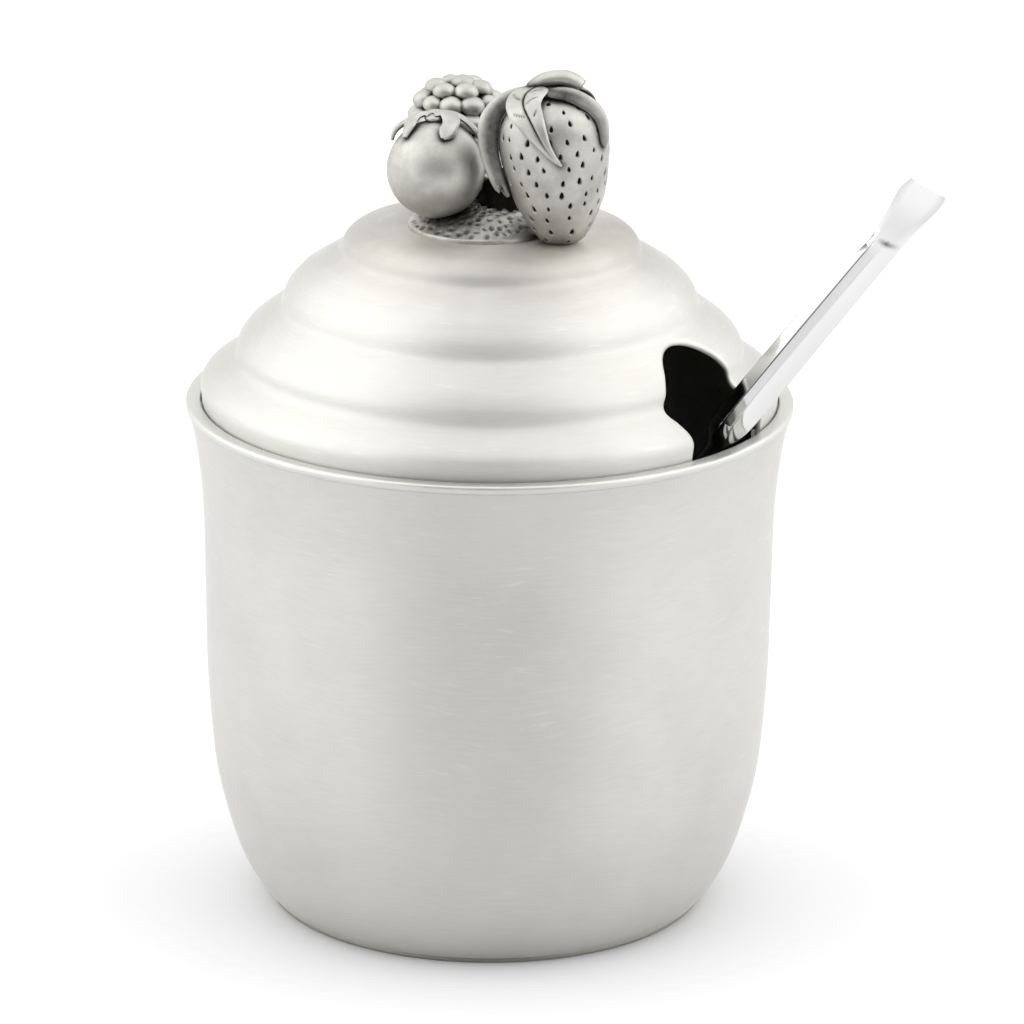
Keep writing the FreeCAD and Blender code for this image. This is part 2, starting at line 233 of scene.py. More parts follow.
def lathe(profile: Sequence[Sequence[float]], segments: int, loop: bool, name: str,
          turn: tuple[float, float] | None = None, crease: float = 45.0) -> bpy.types.Object:
    """Turn a section about the Z axis.

    Args:
        profile: radius and height pairs; radius zero makes a pole.
        segments: columns round the axis.
        loop: whether the section closes on itself, as a ring's does.
        name: the piece's name.
        turn: start and end azimuth in degrees for an open band, or None for a full turn.
        crease: shading limit in degrees.

    Returns:
        The turned piece.
    """
    draft = MeshDraft()
    full = turn is None
    if full:
        angles = np.linspace(math.pi / segments, TAU + math.pi / segments, segments + 1)[:-1]
    else:
        angles = np.linspace(math.radians(turn[0]), math.radians(turn[1]), segments + 1)
    rows = []
    for r, z in profile:
        if r < 1e-6:
            rows.append([draft.point((0.0, 0.0, z))])
        else:
            rows.append(draft.row([(r * math.cos(a), r * math.sin(a), z) for a in angles]))
    draft.skin(rows + rows[:1] if loop else rows, closed=full)
    if not full:
        draft.faces.append(tuple(r[0] for r in rows))
        draft.faces.append(tuple(r[-1] for r in rows))
    return draft.build(name, crease)


def add_node(tree: bpy.types.NodeTree, kind: str, settings: dict[str, object] | None = None,
             links: dict[str | int, bpy.types.NodeSocket | object] | None = None) -> bpy.types.Node:
    """Add a node to a tree.

    Args:
        tree: the tree.
        kind: the node's type name.
        settings: properties of the node.
        links: its inputs by name or index; a socket is linked, anything else is set.

    Returns:
        The node.
    """
    made = tree.nodes.new(kind)
    for key, value in (settings or {}).items():
        setattr(made, key, value)
    for key, value in (links or {}).items():
        if isinstance(value, bpy.types.NodeSocket):
            tree.links.new(value, made.inputs[key])
        else:
            made.inputs[key].default_value = value
    return made


def start_material(name: str) -> tuple[bpy.types.Material, bpy.types.NodeTree, bpy.types.NodeSocket]:
    """Make an empty material.

    Args:
        name: its name.

    Returns:
        The material, its node tree and the object coordinates in it.
    """
    material = bpy.data.materials.new(name)
    material.use_nodes = True
    material.node_tree.nodes.clear()
    place = add_node(material.node_tree, "ShaderNodeTexCoord")
    return material, material.node_tree, place.outputs["Object"]


class Lay(Enum):
    """Which way the brushing runs up a turned piece, so its lines stay evenly apart."""

    WALL = 1.0
    DOME = -1.0


@dataclass(frozen=True)
class SatinPewter:
    """Spun pewter, an alloy of tin, brushed with a fine pad while it turned.

    It gives a soft, warm grey sheen broken by hair-fine lines round the piece, a few stray
    scratches across them and faint brown tarnish.
    """

    name: str
    lay: Lay
    metal: str = "CBCAC6"
    tarnish: str = "8F8779"
    tarnish_from: float = 1.0  # height in metres above which handling has left it browner
    tarnish_to: float = 2.0
    roughness: float = 0.43
    line_gap: float = 0.16  # mm; real pad lines are about 0.1 mm, drawn coarser so that they show
    line_length: float = 4.0  # mm

    def build(self) -> bpy.types.Material:
        """Make the material."""
        material, tree, place = start_material(self.name)
        split = add_node(tree, "ShaderNodeSeparateXYZ", links={0: place})
        flat = add_node(tree, "ShaderNodeCombineXYZ", links={0: split.outputs[0], 1: split.outputs[1]})
        radius = add_node(tree, "ShaderNodeVectorMath", {"operation": "LENGTH"}, {0: flat.outputs[0]})
        wobble = add_node(tree, "ShaderNodeTexNoise", links={
            "Vector": place, "Scale": 45.0, "Detail": 1.0})
        along = add_node(tree, "ShaderNodeMath", {"operation": "MULTIPLY_ADD"}, {
            0: radius.outputs["Value"], 1: self.lay.value, 2: split.outputs[2]})
        drift = add_node(tree, "ShaderNodeMath", {"operation": "MULTIPLY_ADD"}, {
            0: wobble.outputs["Fac"], 1: 0.0045, 2: along.outputs[0]})
        stretched = add_node(tree, "ShaderNodeCombineXYZ", links={
            0: split.outputs[0], 1: split.outputs[1], 2: drift.outputs[0]})
        lines_place = add_node(tree, "ShaderNodeVectorMath", {"operation": "MULTIPLY"}, {
            0: stretched.outputs[0],
            1: (1.0 / (self.line_length * MM), 1.0 / (self.line_length * MM), 1.0 / (self.line_gap * MM))})
        lines = add_node(tree, "ShaderNodeTexNoise", links={
            "Vector": lines_place.outputs[0], "Scale": 1.0, "Detail": 4.0, "Roughness": 0.65})
        across = add_node(tree, "ShaderNodeMapping", links={
            "Vector": lines_place.outputs[0], "Rotation": (0.9, 0.35, 0.0), "Scale": (1.0, 1.0, 0.25)})
        stray = add_node(tree, "ShaderNodeTexNoise", links={
            "Vector": across.outputs[0], "Scale": 1.0, "Detail": 2.0, "Roughness": 0.5})
        scratch = add_node(tree, "ShaderNodeMapRange", links={
            "Value": stray.outputs["Fac"], "From Min": 0.62, "From Max": 0.72})
        cloud = add_node(tree, "ShaderNodeTexNoise", links={
            "Vector": place, "Scale": 55.0, "Detail": 4.0, "Roughness": 0.6})
        handled = add_node(tree, "ShaderNodeMapRange", {"interpolation_type": "SMOOTHSTEP"}, {
            "Value": split.outputs[2], "From Min": self.tarnish_from, "From Max": self.tarnish_to,
            "To Max": 0.55})
        patch = add_node(tree, "ShaderNodeMapRange", links={
            "Value": cloud.outputs["Fac"], "From Min": 0.45, "From Max": 0.75, "To Max": 0.10})
        brown = add_node(tree, "ShaderNodeMath", {"operation": "MULTIPLY_ADD", "use_clamp": True}, {
            0: handled.outputs[0], 1: cloud.outputs["Fac"], 2: patch.outputs[0]})
        tint = add_node(tree, "ShaderNodeMix", {"data_type": "RGBA"}, {
            0: brown.outputs[0], 6: linear(self.metal), 7: linear(self.tarnish)})
        grain = add_node(tree, "ShaderNodeMapRange", links={
            "Value": lines.outputs["Fac"], "From Min": 0.25, "From Max": 0.75,
            "To Min": 0.91, "To Max": 1.06})
        colour = add_node(tree, "ShaderNodeMix", {"data_type": "RGBA", "blend_type": "MULTIPLY"}, {
            0: 1.0, 6: tint.outputs[2], 7: grain.outputs[0]})
        rough = add_node(tree, "ShaderNodeMapRange", links={
            "Value": lines.outputs["Fac"], "From Min": 0.25, "From Max": 0.75,
            "To Min": self.roughness - 0.06, "To Max": self.roughness + 0.08})
        worn = add_node(tree, "ShaderNodeMath", {"operation": "MULTIPLY_ADD"}, {
            0: scratch.outputs[0], 1: -0.10, 2: rough.outputs[0]})
        height = add_node(tree, "ShaderNodeMath", {"operation": "MULTIPLY_ADD"}, {
            0: scratch.outputs[0], 1: -0.8, 2: lines.outputs["Fac"]})
        bump = add_node(tree, "ShaderNodeBump", links={
            "Strength": 0.35, "Distance": 0.03 * MM, "Height": height.outputs[0]})
        shader = add_node(tree, "ShaderNodeBsdfPrincipled", links={
            "Base Color": colour.outputs[2], "Metallic": 1.0, "Roughness": worn.outputs[0],
            "Anisotropic": 0.7, "Anisotropic Rotation": 0.25, "Normal": bump.outputs[0]})
        add_node(tree, "ShaderNodeOutputMaterial", links={0: shader.outputs[0]})
        return material


@dataclass(frozen=True)
class CastPewter:
    """Pewter cast in a mould, blackened with oxide and rubbed bright on the high places.

    It gives a dull, sand-grained grey with brown-black left in every hollow.
    """

    name: str
    metal: str = "C6C5BE"
    # this dark colour is also the painted shade on the shaded leaf faces and the ground's peak
    oxide: str = "2B2824"
    roughness: float = 0.46
    grain: float = 0.22  # mm; sand grain of the mould

    def build(self) -> bpy.types.Material:
        """Make the material."""
        material, tree, place = start_material(self.name)
        # the darkness attribute holds dark oxide in the hollows and also painted shade on the shaded leaf
        # faces and the ground's peak
        hollow = add_node(tree, "ShaderNodeAttribute", {"attribute_name": OXIDE_PAINTED_SHADE_AND_REFLECTION})
        sand = add_node(tree, "ShaderNodeTexNoise", links={
            "Vector": place, "Scale": 1.0 / (self.grain * MM), "Detail": 3.0})
        cloud = add_node(tree, "ShaderNodeTexNoise", links={
            "Vector": place, "Scale": 260.0, "Detail": 4.0, "Roughness": 0.6})
        left = add_node(tree, "ShaderNodeMapRange", links={
            "Value": cloud.outputs["Fac"], "From Min": 0.35, "From Max": 0.75, "To Min": -0.02,
            "To Max": 0.26})
        speck = add_node(tree, "ShaderNodeMath", {"operation": "MULTIPLY_ADD"}, {
            0: sand.outputs["Fac"], 1: 0.16, 2: left.outputs[0]})
        soft = add_node(tree, "ShaderNodeMath", {"operation": "ADD", "use_clamp": True}, {
            0: hollow.outputs["Fac"], 1: speck.outputs[0]})
        colour = add_node(tree, "ShaderNodeMix", {"data_type": "RGBA"}, {
            0: soft.outputs[0], 6: linear(self.metal), 7: linear(self.oxide)})
        rough = add_node(tree, "ShaderNodeMapRange", links={
            "Value": soft.outputs[0], "To Min": self.roughness, "To Max": 0.62})
        bump = add_node(tree, "ShaderNodeBump", links={
            "Strength": 0.30, "Distance": 0.04 * MM, "Height": sand.outputs["Fac"]})
        shader = add_node(tree, "ShaderNodeBsdfPrincipled", links={
            "Base Color": colour.outputs[2], "Metallic": 1.0, "Roughness": rough.outputs[0],
            "Normal": bump.outputs[0]})
        add_node(tree, "ShaderNodeOutputMaterial", links={0: shader.outputs[0]})
        return material


@dataclass(frozen=True)
class PolishedSteel:
    """Stainless steel, forged and mirror polished, with the faint swirl a soft wheel leaves."""

    name: str
    metal: str = "E4E4E3"
    painted_reflection_grey: str = "70706E"  # grey painted along the handle's corners as a reflection of the dark room
    roughness: float = 0.075
    swirl: float = 0.9  # mm between polishing marks

    def build(self) -> bpy.types.Material:
        """Make the material."""
        material, tree, place = start_material(self.name)
        marks = add_node(tree, "ShaderNodeTexNoise", links={
            "Vector": place, "Scale": 1.0 / (self.swirl * MM), "Detail": 3.0})
        smear = add_node(tree, "ShaderNodeTexNoise", links={
            "Vector": place, "Scale": 90.0, "Detail": 2.0})
        rough = add_node(tree, "ShaderNodeMapRange", links={
            "Value": smear.outputs["Fac"], "From Min": 0.3, "From Max": 0.7,
            "To Min": self.roughness - 0.02, "To Max": self.roughness + 0.05})
        tone = add_node(tree, "ShaderNodeMapRange", links={
            "Value": smear.outputs["Fac"], "From Min": 0.3, "From Max": 0.7, "To Min": 0.96, "To Max": 1.0})
        bright = add_node(tree, "ShaderNodeMix", {"data_type": "RGBA", "blend_type": "MULTIPLY"}, {
            0: 1.0, 6: linear(self.metal), 7: tone.outputs[0]})
        # painted reflection: the darkness attribute mixes in the grey where the handle should mirror the dark
        # room in front
        line = add_node(tree, "ShaderNodeAttribute", {"attribute_name": OXIDE_PAINTED_SHADE_AND_REFLECTION})
        colour = add_node(tree, "ShaderNodeMix", {"data_type": "RGBA"}, {
            0: line.outputs["Fac"], 6: bright.outputs[2], 7: linear(self.painted_reflection_grey)})
        bump = add_node(tree, "ShaderNodeBump", links={
            "Strength": 0.08, "Distance": 0.01 * MM, "Height": marks.outputs["Fac"]})
        shader = add_node(tree, "ShaderNodeBsdfPrincipled", links={
            "Base Color": colour.outputs[2], "Metallic": 1.0, "Roughness": rough.outputs[0],
            "Normal": bump.outputs[0]})
        add_node(tree, "ShaderNodeOutputMaterial", links={0: shader.outputs[0]})
        return material


class Slot(Enum):
    """The record's material slots."""

    SATIN = "satin_pewter"
    CAST = "cast_pewter"
    STEEL = "spoon_steel"


def dress(piece: bpy.types.Object, finish: bpy.types.Material, body: str, node: str) -> None:
    """Give a piece its finish and let it stand for its CAD node.

    Args:
        piece: the new piece.
        finish: its material.
        body: the CAD body that it rides on.
        node: the CAD node that it stands for.
    """
    piece.data.materials.clear()
    piece.data.materials.append(finish)
    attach(piece, body)
    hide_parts(node)
    log.info("%s rides on %s, %d faces", piece.name, body, len(piece.data.polygons))


@dataclass
class Bowl:
    """The spun bowl, its soldered base disc and its lip ring."""

    sheet: float = 1.2
    base_r: float = 32.7
    base_t: float = 0.9
    base_edge: float = 0.5
    rim_r: float = 44.98
    rim_top: float = 77.2
    rim_w: float = 2.18
    rim_t: float = 1.3
    lip_outer_q: float = 0.45  # rounding of the lip outside, then inside
    lip_inner_q: float = 0.2
    wall_top_r: float = 44.65
    ledge_w: float = 0.9
    segments: int = 320
    wall: Profile = field(default_factory=lambda: [
        (33.0, 0.9), (34.7, 3.0), (37.3, 7.8), (39.2, 13.7), (40.6, 19.5), (41.5, 27.4), (42.0, 35.2),
        (42.2, 44.9), (42.35, 54.7), (42.6, 62.5), (43.2, 68.4), (43.8, 72.3), (44.65, 75.9)])

    def build(self) -> None:
        """Make and dress the three pieces."""
        wall_finish = SatinPewter("satin_pewter_bowl_brushed", Lay.WALL).build()
        dress(self.make_wall(), wall_finish, "bowl", "bowl_wall")
        # painted shade: the base disc gets a darker metal than the wall, standing in for the shade where the
        # bowl meets the floor
        foot = SatinPewter("satin_pewter_base_painted_shade", Lay.WALL, metal="A3A099", roughness=0.50).build()
        dress(self.make_base(), foot, "bowl", "base_disc")
        lip = SatinPewter("satin_pewter_lip_burnished", Lay.WALL, metal="D2D2CD", roughness=0.40).build()
        dress(self.make_rim(), lip, "bowl", "rim_ring")

    def make_wall(self) -> bpy.types.Object:
        """Turn the wall and floor as one sheet."""
        outer = smooth(self.wall, 110)
        inner = outer + inward(outer) * self.sheet
        floor = self.base_t + self.sheet
        kept = inner[inner[:, 1] > floor + 1.0]
        corner = smooth([(kept[0][0] - 2.2, floor), (kept[0][0] - 0.9, floor + 0.25),
                         (kept[0][0], kept[0][1])], 8)[:-1]
        profile = [(0.0, self.base_t), (self.base_r - 3.0, self.base_t)]
        profile += [tuple(p) for p in outer]
        profile += [tuple(p) for p in kept[::-1]] + [tuple(p) for p in corner[::-1]] + [(0.0, floor)]
        return lathe(profile, self.segments, False, "bowl_wall_spun")

    def make_base(self) -> bpy.types.Object:
        """Turn the flat disc that the bowl stands on, its lower edge broken."""
        r, t, edge = self.base_r, self.base_t, self.base_edge
        rounding = [(r - edge + edge * math.sin(a), edge - edge * math.cos(a))
                    for a in np.linspace(0.0, math.pi / 2, 6)]
        top = [(r, t - 0.12), (r - 0.12, t), (0.0, t)]
        return lathe([(0.0, 0.0)] + rounding + top, self.segments, False, "base_disc_turned", crease=60.0)

    def make_rim(self) -> bpy.types.Object:
        """Turn the flat-topped lip, rounded outside, with the ledge that carries the lid."""
        inner_r, low = self.rim_r - self.rim_w, self.rim_top - self.rim_t
        outer_q, inner_q = self.lip_outer_q, self.lip_inner_q
        crown = [(self.rim_r - outer_q + outer_q * math.cos(a),
                  self.rim_top - outer_q + outer_q * math.sin(a))
                 for a in np.linspace(0.0, math.pi / 2, 9)]
        crown += [(inner_r + inner_q - inner_q * math.sin(a), self.rim_top - inner_q + inner_q * math.cos(a))
                  for a in np.linspace(0.0, math.pi / 2, 6)]
        ledge = inner_r - self.ledge_w
        seam = [(self.wall_top_r, low), (self.wall_top_r + 0.12, low + 0.10), (self.rim_r - 0.08, low + 0.2)]
        seat = [(inner_r, low), (ledge + 0.1, low), (ledge, low - 0.1), (ledge, low - 0.9),
                (inner_r + 0.3, low - 0.9), (inner_r + 0.3, low)]
        return lathe(seam + crown + seat, self.segments, True, "rim_ring_lip", crease=50.0)


@dataclass
class Lid:
    """The spun, stepped lid with its punched notch, and the locating band inside it."""

    edge_r: float = 42.5
    edge_z: float = 75.95
    rim_top: float = 77.2
    sheet: float = 0.9
    skirt_drop: float = 0.4
    crown_r: float = 15.5
    crown_h: float = 26.2
    notch_az: float = -34.0
    notch_half: float = 9.0
    notch_spring: float = 4.6
    edge_round: float = 0.55  # outer edge of the notch, dragged in by the punch
    burr_round: float = 0.15
    band_t: float = 0.9
    band_low: float = 72.5
    band_high: float = 76.7
    columns: int = 300
    steps: Profile = field(default_factory=lambda: [
        (42.68, 1.2), (42.75, 2.4), (42.2, 3.5), (40.9, 4.5), (39.5, 5.3), (38.0, 6.0), (37.35, 7.0),
        (37.3, 8.2), (36.8, 9.4), (35.6, 10.9), (33.8, 12.3), (32.2, 13.4), (30.9, 14.4), (30.5, 15.6),
        (29.9, 17.0), (28.9, 18.2), (27.9, 19.2), (26.3, 20.2), (24.9, 21.1), (23.2, 22.0),
        (22.1, 22.9), (21.7, 24.0), (20.8, 25.1), (19.6, 25.8), (18.0, 26.12)])

    def build(self) -> None:
        """Make and dress both pieces."""
        finish = SatinPewter("satin_pewter_lid_brushed", Lay.DOME, tarnish_from=0.096,
                             tarnish_to=0.1035, metal="D8D7D2", roughness=0.55).build()
        dress(self.make_dome(), finish, "lid", "lid_dome")
        dress(self.make_band(), finish, "lid", "lid_flange")

    def section(self) -> tuple[np.ndarray, np.ndarray]:
        """Outer profile from the skirt to the flat crown, and its inward normals."""
        knots = [(self.edge_r, self.rim_top - self.skirt_drop)]
        knots += [(r, self.rim_top + h) for r, h in self.steps]
        knots += [(self.crown_r, self.rim_top + self.crown_h)]
        curve = smooth(knots, 700)
        curve = np.vstack([[self.edge_r, self.edge_z], curve])
        normals = inward(curve)
        normals[0] = normals[1] = (-1.0, 0.0)
        normals[-1] = (0.0, -1.0)
        return curve, normals

    def make_dome(self) -> bpy.types.Object:
        """Make the lid with columns that run along the notch's edge.

        Returns:
            The closed, notched sheet.
        """
        curve, normals = self.section()
        heights = curve[:, 1]
        draft = MeshDraft()
        spring_z = self.rim_top + self.notch_spring
        straight = list(np.linspace(self.edge_z, spring_z, 15))[:-1]
        arch = list(np.linspace(0.0, math.pi / 2, 30))
        axis = math.radians(self.notch_az)

        def at_height(z: float, depth: float) -> tuple[float, float]:
            """Radius and height at a depth below the outer skin."""
            r = float(np.interp(z, heights, curve[:, 0]))
            nr = float(np.interp(z, heights, normals[:, 0]))
            nz = float(np.interp(z, heights, normals[:, 1]))
            return r + nr * depth, z + nz * depth

        def rows_at(extra: float) -> list[tuple[float, float]]:
            """Height and half width of each notch row, with the opening grown by extra."""
            half = self.notch_half + extra
            return ([(z, half) for z in straight]
                    + [(spring_z + half * math.sin(b), half * math.cos(b)) for b in arch])

        def azimuth_of(half: float, radius: float) -> float:
            """Angle from the notch's middle to its edge."""
            return math.asin(min(1.0, max(0.0, half) / radius)) if half > 1e-6 else 0.0

        def shell(extra: float, depth: float) -> list[list[int]]:
            """One skin of the sheet, from the edge to the pole."""
            made = []
            notch_rows = rows_at(extra)
            for k, (z, half) in enumerate(notch_rows):
                r, height = at_height(z, depth)
                gap = azimuth_of(half, r)
                closed = k == len(notch_rows) - 1
                turns = np.linspace(gap, TAU - gap, self.columns + 1)
                if closed:
                    turns = turns[:-1]
                row = draft.row([(r * math.cos(axis + a), r * math.sin(axis + a), height) for a in turns])
                made.append(row + row[:1] if closed else row)
            top = notch_rows[-1][0]
            rest = curve[heights > top + 0.05]
            turned = normals[heights > top + 0.05]
            picks = np.unique(np.linspace(0, len(rest) - 1, 84).astype(int))
            sections = [(rest[i] + turned[i] * depth) for i in picks]
            sections += [(r, self.rim_top + self.crown_h - depth)
                         for r in np.linspace(self.crown_r, 0.0, 8)[1:-1]]
            for r, height in sections:
                row = draft.row([(r * math.cos(axis + a), r * math.sin(axis + a), height)
                                 for a in turns_of(self.columns)])
                made.append(row + row[:1])
            draft.skin(made, closed=False)
            pole = draft.point((0.0, 0.0, self.rim_top + self.crown_h - depth))
            draft.strip(made[-1], [pole], closed=False)
            return made

        outer = shell(self.edge_round, 0.0)
        inner = shell(self.burr_round, self.sheet)
        layers = [(self.edge_round * (1 - math.sin(a)), self.edge_round * (1 - math.cos(a)))
                  for a in np.linspace(0.0, math.pi / 2, 7)[1:]]
        layers += [(self.burr_round * (1 - math.cos(a)), self.sheet - self.burr_round * (1 - math.sin(a)))
                   for a in np.linspace(0.0, math.pi / 2, 4)[:-1]]
        count = len(straight) + len(arch)
        shared: list[int] = []  # points at the top of the notch, where its two sides meet
        for side, column in ((1.0, 0), (-1.0, -1)):
            walls = [[outer[k][column] for k in range(count)]]
            for extra, depth in layers:
                wall = []
                for k, (z, half) in enumerate(rows_at(extra)):
                    r, height = at_height(z, depth)
                    a = axis + side * azimuth_of(half, r)
                    if k == count - 1 and side < 0:
                        wall.append(shared[len(walls) - 1])
                        continue
                    wall.append(draft.point((r * math.cos(a), r * math.sin(a), height), 0.0))
                if side > 0:
                    shared.append(wall[-1])
                walls.append(wall)
            walls.append([inner[k][column] for k in range(count)])
            draft.skin(walls, closed=False)
            draft.faces.append(tuple(w[0] for w in walls))
        draft.strip(outer[0], inner[0], closed=False)
        return draft.build("lid_dome_spun", crease=50.0)

    def make_band(self) -> bpy.types.Object:
        """Turn the locating band, left open at the notch."""
        outer_r = self.edge_r - self.sheet
        gap = math.degrees(math.asin((self.notch_half + 1.0) / outer_r))
        r0, r1, lo, hi = outer_r - self.band_t, outer_r, self.band_low, self.band_high
        e = 0.2
        section = [(r0, lo + e), (r0 + e, lo), (r1 - e, lo), (r1, lo + e), (r1, hi), (r0, hi)]
        return lathe(section, 200, True, "lid_flange_band",
                     turn=(self.notch_az + gap, self.notch_az + 360.0 - gap), crease=35.0)


@dataclass(frozen=True)
class Fruit:
    """A turned fruit skin that leaves and sepals can lie on."""

    foot: tuple[float, float, float]
    side: tuple[tuple[float, float], ...]  # radius and height from the tip up to the top
    lean: float = 0.0  # degrees about Y

    def meridian(self) -> np.ndarray:
        """Dense radius and height pairs, from the top down."""
        return smooth(list(self.side)[::-1], 500)

    def skin(self, azimuth: np.ndarray, down: np.ndarray) -> tuple[np.ndarray, np.ndarray]:
        """Points and outward normals of the skin.

        Args:
            azimuth: degrees round the fruit.
            down: millimetres along the skin from its top.

        Returns:
            Places and unit normals, three columns each.
        """
        line = self.meridian()
        at = run_along(line)
        slope = np.gradient(line, axis=0)
        slope /= np.linalg.norm(slope, axis=1)[:, None]
        r, z = np.interp(down, at, line[:, 0]), np.interp(down, at, line[:, 1])
        nr, nz = np.interp(down, at, -slope[:, 1]), np.interp(down, at, slope[:, 0])
        a, t = np.radians(azimuth), math.radians(self.lean)
        out = []
        for radial, height in ((r, z), (nr, nz)):
            x, y = radial * np.cos(a), radial * np.sin(a)
            out.append(np.stack([x * math.cos(t) + height * math.sin(t), y,
                                 -x * math.sin(t) + height * math.cos(t)], axis=-1))
        length = np.linalg.norm(out[1], axis=-1, keepdims=True)
        return out[0] + np.array(self.foot), out[1] / np.maximum(length, 1e-9)

    def length(self) -> float:
        """Millimetres along the skin from top to tip."""
        return float(np.linalg.norm(np.diff(self.meridian(), axis=0), axis=1).sum())


@dataclass(frozen=True)
class Leaf:
    """A leaf or sepal that lies on a fruit.

    Each station holds the azimuth in degrees, the distance down from the fruit's top, the lift
    off the skin, the half width, the droop of its edges towards the fruit, and the roll of the
    blade in degrees.
    """

    stations: tuple[tuple[float, float, float, float, float, float], ...]
    thickness: float = 0.55
    veins: float = 0.0  # depth of the midrib groove
    shade: float = 0.0  # painted shade on the hollow face, lighter towards the tip
    light_rim: int = 0  # which edge is left light, outside the painted shade: 1 or -1
    rows: int = 60
    columns: int = 18

    def add_to(self, draft: MeshDraft, fruit: Fruit) -> None:
        """Add the leaf as a closed blade.

        Args:
            draft: where its points go.
            fruit: the skin it lies on.
        """
        track = smooth(list(self.stations), self.rows)
        spots, normals = fruit.skin(track[:, 0], np.maximum(track[:, 1], 0.02))
        middle = spots + normals * track[:, 2:3]
        forward = np.gradient(middle, axis=0)
        forward /= np.linalg.norm(forward, axis=1)[:, None]
        across = np.cross(forward, normals)
        across /= np.linalg.norm(across, axis=1)[:, None]
        out = np.cross(across, forward)
        run = run_along(middle)
        upper, lower = [], []
        v = np.linspace(-1.0, 1.0, self.columns + 1)
        for k in range(self.rows):
            roll = math.radians(track[k, 5])
            wide = across[k] * math.cos(roll) + out[k] * math.sin(roll)
            face = -across[k] * math.sin(roll) + out[k] * math.cos(roll)
            half = max(track[k, 3], 0.05)
            rib = np.exp(-(v * half / 0.16) ** 2)
            side_rib = np.zeros_like(v)
            if self.veins:
                phase = (run[k] + np.abs(v) * half * 0.9 + (v > 0) * 1.1) / 3.1
                near = np.abs(phase - np.round(phase)) * 3.1
                side_rib = ((run[k] < 8.5) * np.exp(-(near / 0.13) ** 2) * ease(np.abs(v), 0.05, 0.2)
                            * (1 - ease(np.abs(v), 0.62, 0.8)))
            groove = self.veins * np.maximum(rib * (1 - ease(k / self.rows, 0.7, 0.95)), 0.8 * side_rib)
            edge = np.sqrt(np.clip(1.0 - v ** 4, 0.0, 1.0))
            body = self.thickness * min(1.0, 0.35 + half / 1.2) * edge
            drop = track[k, 4] * v ** 2
            base = middle[k][None] + wide[None] * (v * half)[:, None] - out[k][None] * drop[:, None]
            top = base + face[None] * (body / 2 - groove)[:, None]
            low = base - face[None] * (body / 2)[:, None]
            dark = np.clip(groove / max(self.veins, 1e-6), 0, 1) * (1.0 if self.veins else 0.0)
            # painted shade: darkens the face, less towards the tip and not at the edge that light_rim names
            if self.shade:
                low_end = 1.0 - 0.55 * ease(k / self.rows, 0.45, 0.95)
                dark = np.maximum(dark, self.shade * low_end * (1.0 - ease(v * self.light_rim, -0.3, 0.8)))
            upper.append(draft.row(top, dark))
            inside = draft.row(low[1:-1], [0.55] * (len(v) - 2))
            lower.append([upper[-1][0]] + inside + [upper[-1][-1]])
        draft.skin(upper, closed=False)
        draft.skin(lower, closed=False)
        for k in (0, -1):
            draft.faces.append(tuple(upper[k]) + tuple(lower[k][1:-1][::-1]))


class KnobTree(Enum):
    """Geometry Nodes trees of the fruit knob."""

    DRUPELETS = "knob_drupelets"


def start_tree(kind: KnobTree, sizes: dict[str, float]) -> bpy.types.NodeTree:
    """Make an empty Geometry Nodes tree with a geometry in and out and named sizes."""
    tree = bpy.data.node_groups.new(kind.value, "GeometryNodeTree")
    tree.interface.new_socket("Geometry", in_out="INPUT", socket_type="NodeSocketGeometry")
    for name, value in sizes.items():
        socket = tree.interface.new_socket(name, in_out="INPUT", socket_type="NodeSocketFloat")
        socket.default_value = value
    tree.interface.new_socket("Geometry", in_out="OUTPUT", socket_type="NodeSocketGeometry")
    return tree


def run_tree(piece: bpy.types.Object, tree: bpy.types.NodeTree, sizes: dict[str, float]) -> None:
    """Apply a tree to a piece, so that only its plain mesh is left.

    Args:
        piece: the object to change.
        tree: the Geometry Nodes tree.
        sizes: values for its named inputs.
    """
    modifier = piece.modifiers.new(tree.name, "NODES")
    modifier.node_group = tree
    for item in tree.interface.items_tree:
        if item.item_type == "SOCKET" and item.in_out == "INPUT" and item.name in sizes:
            modifier[item.identifier] = sizes[item.name]
    view = bpy.context.evaluated_depsgraph_get()
    plain = bpy.data.meshes.new_from_object(piece.evaluated_get(view), depsgraph=view)
    old = piece.data
    piece.modifiers.remove(modifier)
    piece.data = plain
    plain.name = piece.name
    bpy.data.meshes.remove(old)


